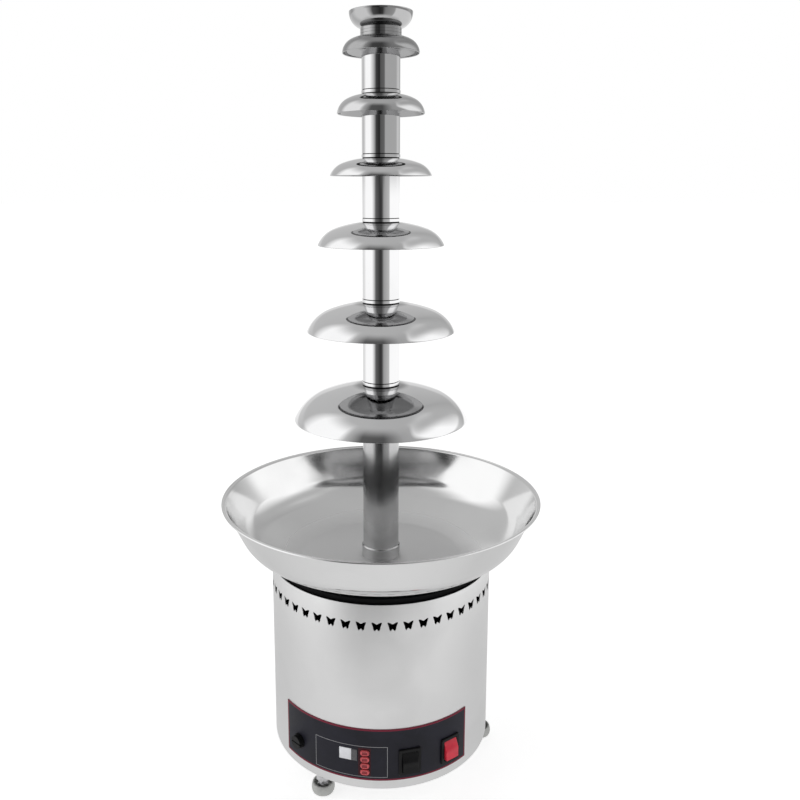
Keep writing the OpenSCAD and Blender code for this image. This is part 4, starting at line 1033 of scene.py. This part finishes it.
# Rings of a housing: share of the well's outline, share of the bezel's, height
HOUSING_STEPS = (
    (0, 0, WELL_FLOOR), (1, 0, WELL_FLOOR), (1, 0, BEZEL_TOP - 0.5 * MM), (0.9, 0.1, BEZEL_TOP),
    (0.14, 0.86, BEZEL_TOP), (0, 1, BEZEL_TOP - 0.9 * MM), (0, 1, BEZEL_BACK), (0.49, 0.51, BEZEL_BACK),
    (0.49, 0.51, HOUSING_BACK), (0, 0, HOUSING_BACK),
)
ROCKER_AXIS = 157.5 * MM
ROCKER_TILT = 12
SWING = 13.6 * MM
RIDGE, RIDGE_ROUND = 6 * MM, 1.2 * MM
ROCKER_DISH = 0.25 * MM
ROCKER_BACK = -2.2 * MM
ROCKER_HALF = 10.4 * MM
ROCKER_REACH, BACK_REACH = 0.94, 0.93
# Ends of a rocker: distance in from its side, and share of its outline there
ROCKER_ENDS = ((0, 0), (0, 0.94), (0.25 * MM, 0.98), (0.8 * MM, 1))


class FOUNTAIN_OT_switches(bpy.types.Operator):
    """Two rocker switches in their bezels"""

    bl_idname = "fountain.switches"
    bl_label = "Switches"

    def execute(self, context):
        for name, degrees, skin in SWITCHES:
            self.housing(name, degrees)
            self.rocker(name, degrees, skin)
        return {"FINISHED"}

    def housing(self, name, degrees):
        """Bezel and well: each ring blends the well's outline and the bezel's, at its own height"""
        well, bezel = rounded_box(*WELL_BOX), rounded_box(*BEZEL_BOX)
        surface = stacked([(well * a + bezel * b, z) for a, b, z in HOUSING_STEPS])
        place(f"{name}_switch_bezel", at_panel(surface, degrees, CONTROL_Z, PANEL_FACE),
              [finish("switch_black")], "base", f"{name}_switch_housing")

    def rocker(self, name, degrees, skin):
        """Rocker: its side outline, with two shallow dished slopes over a rounded ridge and swung ends, is
        carried across the width and drawn in at both ends"""
        half = ROCKER_REACH * SWING
        y = np.linspace(half, -half, 41)
        crest = np.sqrt(y**2 + RIDGE_ROUND**2) - RIDGE_ROUND
        dish = ROCKER_DISH * np.sin(np.pi * np.abs(y) / half) ** 2
        z = RIDGE - crest * math.tan(math.radians(ROCKER_TILT)) - dish
        z = np.minimum(z, np.sqrt(np.maximum(SWING**2 - y**2, 0)))
        back = line((-half * BACK_REACH, ROCKER_BACK), (half * BACK_REACH, ROCKER_BACK))
        side = np.vstack((np.column_stack((y, z)), back))
        middle = np.array((0, RIDGE_ROUND))
        c, s = cos(ROCKER_TILT), sin(ROCKER_TILT)
        ends = [(-ROCKER_HALF + inset, share) for inset, share in ROCKER_ENDS]
        outlines = []
        for x, share in ends + [(-x, share) for x, share in reversed(ends)]:
            y, z = ((side - middle) * share + middle).T
            outlines.append(np.column_stack((np.full(len(y), x), y * c + z * s, -y * s + z * c)))
        surface = at_panel(rings(outlines), degrees, CONTROL_Z, ROCKER_AXIS)
        node = f"{name}_rocker"
        place(f"{name}_rocker_cap", surface, [finish(skin)], node, node, sharp=40)


FEET = (-28.0, 92.0, 212.0)
FOOT_DISTANCE = 148 * MM
CUP_RADIUS, CUP_HEIGHT = 15.7 * MM, 13 * MM
CUP_LIP = 0.9 * CUP_RADIUS
CUP_FLOOR, CUP_FLOOR_EDGE = 5 * MM, 5.3 * MM
# Outside of a foot's cup from the floor up, as shares of its radius and its height
CUP_SIDE = line(
    (0.86, 0), (0.91, 0.03), (0.97, 0.2), (0.995, 0.35), (1, 0.45), (0.995, 0.58), (0.97, 0.75), (0.93, 0.92),
    (0.9, 1),
)
NUT_CORNER, NUT_BORE, NUT_HEIGHT = 9.75 * MM, 5.05 * MM, 7 * MM
THREAD_PITCH, THREAD_DEPTH, THREAD_RADIUS = 1.5 * MM, 0.42 * MM, 5 * MM
STUD_CORNER, STUD_CHAMFER = 8 * MM, 7.2 * MM
STUD_LOW, STUD_EDGE, STUD_HIGH = 5 * MM, 12.4 * MM, 13 * MM
STUD_TIP = 0.6 * MM


class FOUNTAIN_OT_feet(bpy.types.Operator):
    """Levelling feet: open cups, threaded studs and lock nuts"""

    bl_idname = "fountain.feet"
    bl_label = "Feet"

    def execute(self, context):
        nuts = []
        shell_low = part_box("shell")[0].z
        crest, inside = CUP_LIP - 1.0 * MM, CUP_LIP - 1.8 * MM
        cup = np.vstack((
            line((0, 0)), CUP_SIDE * (CUP_RADIUS, CUP_HEIGHT),
            line((crest, CUP_HEIGHT + 0.2 * MM), (inside, CUP_HEIGHT)),
            line((inside, CUP_FLOOR_EDGE), (0, CUP_FLOOR)),
        ))
        for i, degrees in enumerate(FEET, 1):
            at = (FOOT_DISTANCE * sin(degrees), -FOOT_DISTANCE * cos(degrees))
            place(f"foot_cup_{i}", lathe(cup, 96, at), [finish("foot_grey")], f"foot_{i}",
                  f"foot_{i}_cup")
            place(f"foot_stud_{i}", self.stud(at), [finish("bare_steel")], f"foot_{i}",
                  f"foot_{i}_stud")
            nuts.append(self.nut(at, shell_low - NUT_HEIGHT, shell_low))
        place("foot_lock_nuts", joined(*nuts), [finish("bare_steel")], "base", "foot_nuts")
        return {"FINISHED"}

    def hexagon(self, a, corner):
        """Radius of a hexagon by direction: the flat's distance over the cosine of the angle from the flat's
        middle"""
        off = (a + np.pi / 6) % (np.pi / 3) - np.pi / 6
        return corner * math.cos(math.pi / 6) / np.cos(off)

    def nut(self, at, low, high):
        """Hexagon nut: radius min(hexagon(a), chamfer(z)) outside, with a plain bore"""
        a = circle(72)
        flat = self.hexagon(a, NUT_CORNER)
        bore = np.full_like(a, NUT_BORE)
        trim = np.minimum(flat, NUT_CORNER * 0.9)
        edge = NUT_CORNER * 0.1 * 0.58
        radius = np.array((bore, trim, flat, flat, trim, bore))
        z = np.array((low, low, low + edge, high - edge, high, high))
        return around(radius, z, a, at), grid_faces(len(z), len(a), True, True)

    def stud(self, at):
        """Threaded rod on a hexagon: radius r + d tri(z / pitch - a / 2 pi) along the thread"""
        a = circle(48)
        z = np.linspace(STUD_HIGH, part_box("foot_1_stud")[1].z - STUD_TIP, 140)
        phase = (z[:, None] / THREAD_PITCH - a[None, :] / (2 * np.pi)) % 1
        thread = THREAD_RADIUS - THREAD_DEPTH * np.abs(2 * phase - 1)
        hexagon = self.hexagon(a, STUD_CORNER)
        chamfer = np.minimum(hexagon, STUD_CHAMFER)
        zero = np.zeros_like(a)
        radius = np.vstack((zero, hexagon, hexagon, chamfer, thread, 0.8 * thread[-1:], zero))
        tip = z[-1] + STUD_TIP
        levels = np.concatenate(((STUD_LOW, STUD_LOW, STUD_EDGE, STUD_HIGH), z, (tip, tip)))
        return around(radius, levels, a, at), grid_faces(len(levels), len(a), False, True)


FLIGHT_INSIDE = 10.06 * MM
FLIGHT_SHEET = 2 * MM
FLIGHT_EDGE = 0.4 * MM


class FOUNTAIN_OT_auger(bpy.types.Operator):
    """Auger with its helical flight"""

    bl_idname = "fountain.auger"
    bl_label = "Auger"

    def execute(self, context):
        sizes = context.scene.fountain_tower
        low, high = node_heights("auger_flight")
        blade = self.blade(sizes.flight_radius, sizes.flight_pitch, low, high - low - FLIGHT_SHEET)
        place("auger_blade", blade, [finish("auger_steel")], "drive", "auger_flight")
        return {"FINISHED"}

    def blade(self, outer, pitch, low, rise):
        """Helix: the flight's section (r, z) is carried round the axis, P(t) = (r cos a, r sin a, z + rise t)
        with a = 2 pi t rise / pitch, and shrinks to a point at both ends"""
        turns = rise / pitch
        t = np.linspace(0, 1, int(turns * 48))
        a = 2 * np.pi * turns * t
        section = line(
            (FLIGHT_INSIDE, 0), (outer - FLIGHT_EDGE, 0), (outer, FLIGHT_EDGE),
            (outer, FLIGHT_SHEET - FLIGHT_EDGE), (outer - FLIGHT_EDGE, FLIGHT_SHEET),
            (FLIGHT_INSIDE, FLIGHT_SHEET),
        )
        paths = [np.stack((r * np.cos(a), r * np.sin(a), low + rise * t + z), -1) for r, z in section]
        ring = np.stack(paths, 1)
        first, last = [np.repeat(ring[k].mean(0)[None], len(section), 0)[None] for k in (0, -1)]
        points, faces = rings(np.concatenate((first, ring, last)))
        return points, faces[:, ::-1]


PLAIN_FINISHES = {
    "auger_steel": ("auger_core",),
    "bare_steel": (
        "locating_pins", "bush_nut", "bowl_bolts", "heater_clamp", "heater_screws", "base_screws",
        "motor_screws", "drive_shaft", "drive_pin",
    ),
    "bush_polymer": ("bowl_bush",),
    "seal_silicone": ("shaft_seal",),
    "heater_sheath": ("heater_element",),
    "probe_brass": ("temperature_probe",),
    "seat_black": ("seat_ring",),
    "shell_steel": ("deck", "base_plate"),
    "cast_alloy": ("gearbox",),
    "motor_paint": ("motor_can",),
    "board_green": ("controller_box",),
    "switch_black": ("fuse_holder", "fuse_cap", "cable_gland", "gland_nut"),
    "block_white": ("terminal_block",),
}


class FOUNTAIN_OT_works(bpy.types.Operator):
    """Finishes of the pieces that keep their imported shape"""

    bl_idname = "fountain.works"
    bl_label = "Works"

    def execute(self, context):
        for name, nodes in PLAIN_FINISHES.items():
            for node in nodes:
                refinish(node, name)
        return {"FINISHED"}


# Light of the walls by the turn from the front in degrees: below, at and above the camera's level
LOW_WALL = (
    (-180, 1.05), (-125, 0.85), (-100, 1.2), (-52, 1.2), (-38, 0.65), (-28, 0.14), (0, 0.04), (11, 0.07),
    (22, 0.4), (55, 0.6), (61, 1.2), (127, 1.2), (180, 1.05),
)
MIDDLE_WALL = (
    (-180, 0.8), (-120, 0.6), (-97, 1.2), (-64, 1.2), (-38, 0.5), (-25, 0.06), (-4, 0.02), (2, 0.11),
    (24, 0.15), (30, 0.44), (105, 0.45), (127, 0.72), (150, 0.46), (180, 0.8),
)
HIGH_WALL = (
    (-180, 0.58), (-127, 0.58), (-108, 1.2), (-57, 1.2), (-46, 0.55), (-38, 0.4), (-24, 0.12), (8, 0.1),
    (37, 0.42), (61, 0.45), (76, 1.2), (108, 1.2), (138, 0.53), (157, 0.45), (180, 0.58),
)
# Degrees over the horizon between which one light gives way to the next
MIDDLE_FROM = (-1.0, 2.5)
HIGH_FROM = (9.0, 14.0)
CEILING_FROM = (40.0, 68.0)
GROUND_BELOW = (-60.0, -40.0)
RIGHT_FROM = (0.45, 0.7)
LEAN_LEVEL = 25.0
LEAN = 1.2
RIGHT_STEEPER = 0.3
# Slope and middle of the light over x for the ceiling, and over y for the ground
CEILING_LIGHT = (-0.04, 0.525)
GROUND_LIGHT = (-0.42, 0.76)
# Floor: names, radii, and whether steel mirrors it
FLOORS = (("studio_floor", (0.0, 0.3, 0.7), True), ("studio_surround", (0.7, 2.0, 6.0, 40.0), False))
FLOOR_WHITES = (0.82, 0.8)
FLOOR_SHADES = (0.48, 0.1)
SHADE_FROM = (-0.5, 0.1)
FLOOR_GLOW = 0.6
SENSOR_WIDTH = 36.0


class FOUNTAIN_OT_stage(bpy.types.Operator):
    """Pale floor, studio walls as light, and the camera"""

    bl_idname = "fountain.stage"
    bl_label = "Stage"

    def execute(self, context):
        stage = context.scene.fountain_stage
        self.floor()
        self.studio(context.scene, stage.light)
        self.camera(context.scene, stage)
        context.scene.view_settings.view_transform = "Standard"
        return {"FINISHED"}

    def floor(self):
        """Round floor, P(s, a) = (r cos a, r sin a, 0). Steel mirrors its near part alone, as a grey that
        darkens from front to back, because the walls' light reaches down to the far part."""
        material, tree, shader, where = new_material("floor_white")
        cloud = use_group(tree, "handling", Vector=where, Scale=0.8)
        white = mix_colour(tree, cloud, *[grey(value) for value in FLOOR_WHITES])
        mirrored = add(tree, "LightPath").outputs["Is Glossy Ray"]
        back = spread(tree, add(tree, "SeparateXYZ", {0: where}).outputs[1], *SHADE_FROM)
        shade = mix_colour(tree, back, *[grey(value) for value in FLOOR_SHADES])
        tree.links.new(mix_colour(tree, mirrored, white, shade), shader.inputs["Base Color"])
        shader.inputs["Roughness"].default_value = 0.9
        shader.inputs["Emission Color"].default_value = (1, 1, 1, 1)
        shader.inputs["Emission Strength"].default_value = FLOOR_GLOW
        a = circle(96)
        for name, radii, glossy in FLOORS:
            r = np.array(radii)
            faces = grid_faces(len(r), len(a), False, True)[:, ::-1]
            points, faces = weld(around(r[:, None], np.zeros_like(r), a), faces)
            mesh = bpy.data.meshes.new(name)
            mesh.from_pydata(points.tolist(), [], faces)
            mesh.materials.append(material)
            floor = bpy.data.objects.new(name, mesh)
            bpy.context.scene.collection.objects.link(floor)
            floor.visible_glossy = glossy

    def studio(self, scene, strength):
        """Light by direction: white walls left and right of a dark gap behind the camera, a grey ceiling and
        a pale ground far below. Each wall is a ramp over the turn from the front, and the high wall leans on
        the right. The camera itself sees white."""
        world = bpy.data.worlds.new("studio_walls")
        scene.world = world
        world.use_nodes = True
        tree = world.node_tree
        way = add(tree, "TexCoord").outputs["Generated"]
        part = add(tree, "SeparateXYZ", {0: way}).outputs
        turns = math_node(tree, "DIVIDE", turn_from_front(tree, part), 2 * math.pi)
        share = math_node(tree, "ADD", turns, 0.5)
        rise = times(tree, math_node(tree, "ARCSINE", part[2]), 180 / math.pi)
        right = spread(tree, part[0], *RIGHT_FROM)
        lean = times(tree, math_node(tree, "SUBTRACT", rise, LEAN_LEVEL), LEAN / 360)
        low, middle = [self.wall(tree, share, stops) for stops in (LOW_WALL, MIDDLE_WALL)]
        high = self.wall(tree, linear(tree, right, lean, share), HIGH_WALL)
        ceiling = linear(tree, part[0], *CEILING_LIGHT)
        ground = linear(tree, part[1], *GROUND_LIGHT)
        wall = mix_colour(tree, spread(tree, rise, *MIDDLE_FROM), low, middle)
        wall = mix_colour(tree, spread(tree, rise, *HIGH_FROM), wall, high)
        steep = times(tree, rise, linear(tree, right, RIGHT_STEEPER, 1.0))
        upper = mix_colour(tree, spread(tree, steep, *CEILING_FROM), wall, ceiling)
        light = mix_colour(tree, spread(tree, rise, *GROUND_BELOW, 1.0, 0.0), upper, ground)
        seen = add(tree, "LightPath").outputs["Is Camera Ray"]
        background = tree.nodes["Background"]
        tree.links.new(mix_colour(tree, seen, light, grey(1)), background.inputs["Color"])
        background.inputs["Strength"].default_value = strength

    def wall(self, tree, share, stops):
        """Grey ramp over the turn from the front"""
        node = add(tree, "ValToRGB", {0: share})
        ramp = node.color_ramp
        while len(ramp.elements) > 1:
            ramp.elements.remove(ramp.elements[-1])
        for i, (degrees, value) in enumerate(stops):
            position = (degrees + 180) / 360
            element = ramp.elements.new(position) if i else ramp.elements[0]
            element.position = position
            element.color = opaque(grey(value))
        return node.outputs[0]

    def camera(self, scene, stage):
        """Camera at the photograph's viewing angle"""
        data = bpy.data.cameras.new("camera")
        data.lens = stage.lens
        data.sensor_width = SENSOR_WIDTH
        data.shift_x, data.shift_y = stage.shift
        camera = bpy.data.objects.new("camera", data)
        turn = stage.azimuth
        camera.location = (stage.distance * sin(turn), -stage.distance * cos(turn), stage.height)
        camera.rotation_euler = (math.radians(90 - stage.pitch), 0, math.radians(turn))
        scene.collection.objects.link(camera)
        scene.camera = camera


class FOUNTAIN_PT_sidebar(bpy.types.Panel):
    """Steps that build the fountain"""

    bl_idname = "FOUNTAIN_PT_sidebar"
    bl_label = "Chocolate Fountain"
    bl_space_type = "VIEW_3D"
    bl_region_type = "UI"
    bl_category = "Fountain"

    def draw(self, context):
        for name, kind in GROUP_TYPES.items():
            for value in kind.__annotations__:
                self.layout.prop(getattr(context.scene, name), value)
        for step in STEPS:
            self.layout.operator("fountain." + step)


STEPS = ("caps", "tubes", "crown", "bowl", "shell", "panel", "switches", "feet", "auger", "works", "stage")
GROUP_TYPES = {
    "fountain_tower": FountainTower,
    "fountain_base": FountainBase,
    "fountain_finish": FountainFinish,
    "fountain_stage": FountainStage,
}
CLASSES = (
    *GROUP_TYPES.values(),
    FOUNTAIN_OT_caps,
    FOUNTAIN_OT_tubes,
    FOUNTAIN_OT_crown,
    FOUNTAIN_OT_bowl,
    FOUNTAIN_OT_shell,
    FOUNTAIN_OT_panel,
    FOUNTAIN_OT_switches,
    FOUNTAIN_OT_feet,
    FOUNTAIN_OT_auger,
    FOUNTAIN_OT_works,
    FOUNTAIN_OT_stage,
    FOUNTAIN_PT_sidebar,
)


def register():
    for cls in CLASSES:
        bpy.utils.register_class(cls)
    for name, kind in GROUP_TYPES.items():
        setattr(bpy.types.Scene, name, bpy.props.PointerProperty(type=kind))


def unregister():
    for name in GROUP_TYPES:
        delattr(bpy.types.Scene, name)
    for cls in reversed(CLASSES):
        bpy.utils.unregister_class(cls)


def main():
    register()
    for step in STEPS:
        getattr(bpy.ops.fountain, step)()


if __name__ == "__main__":
    main()
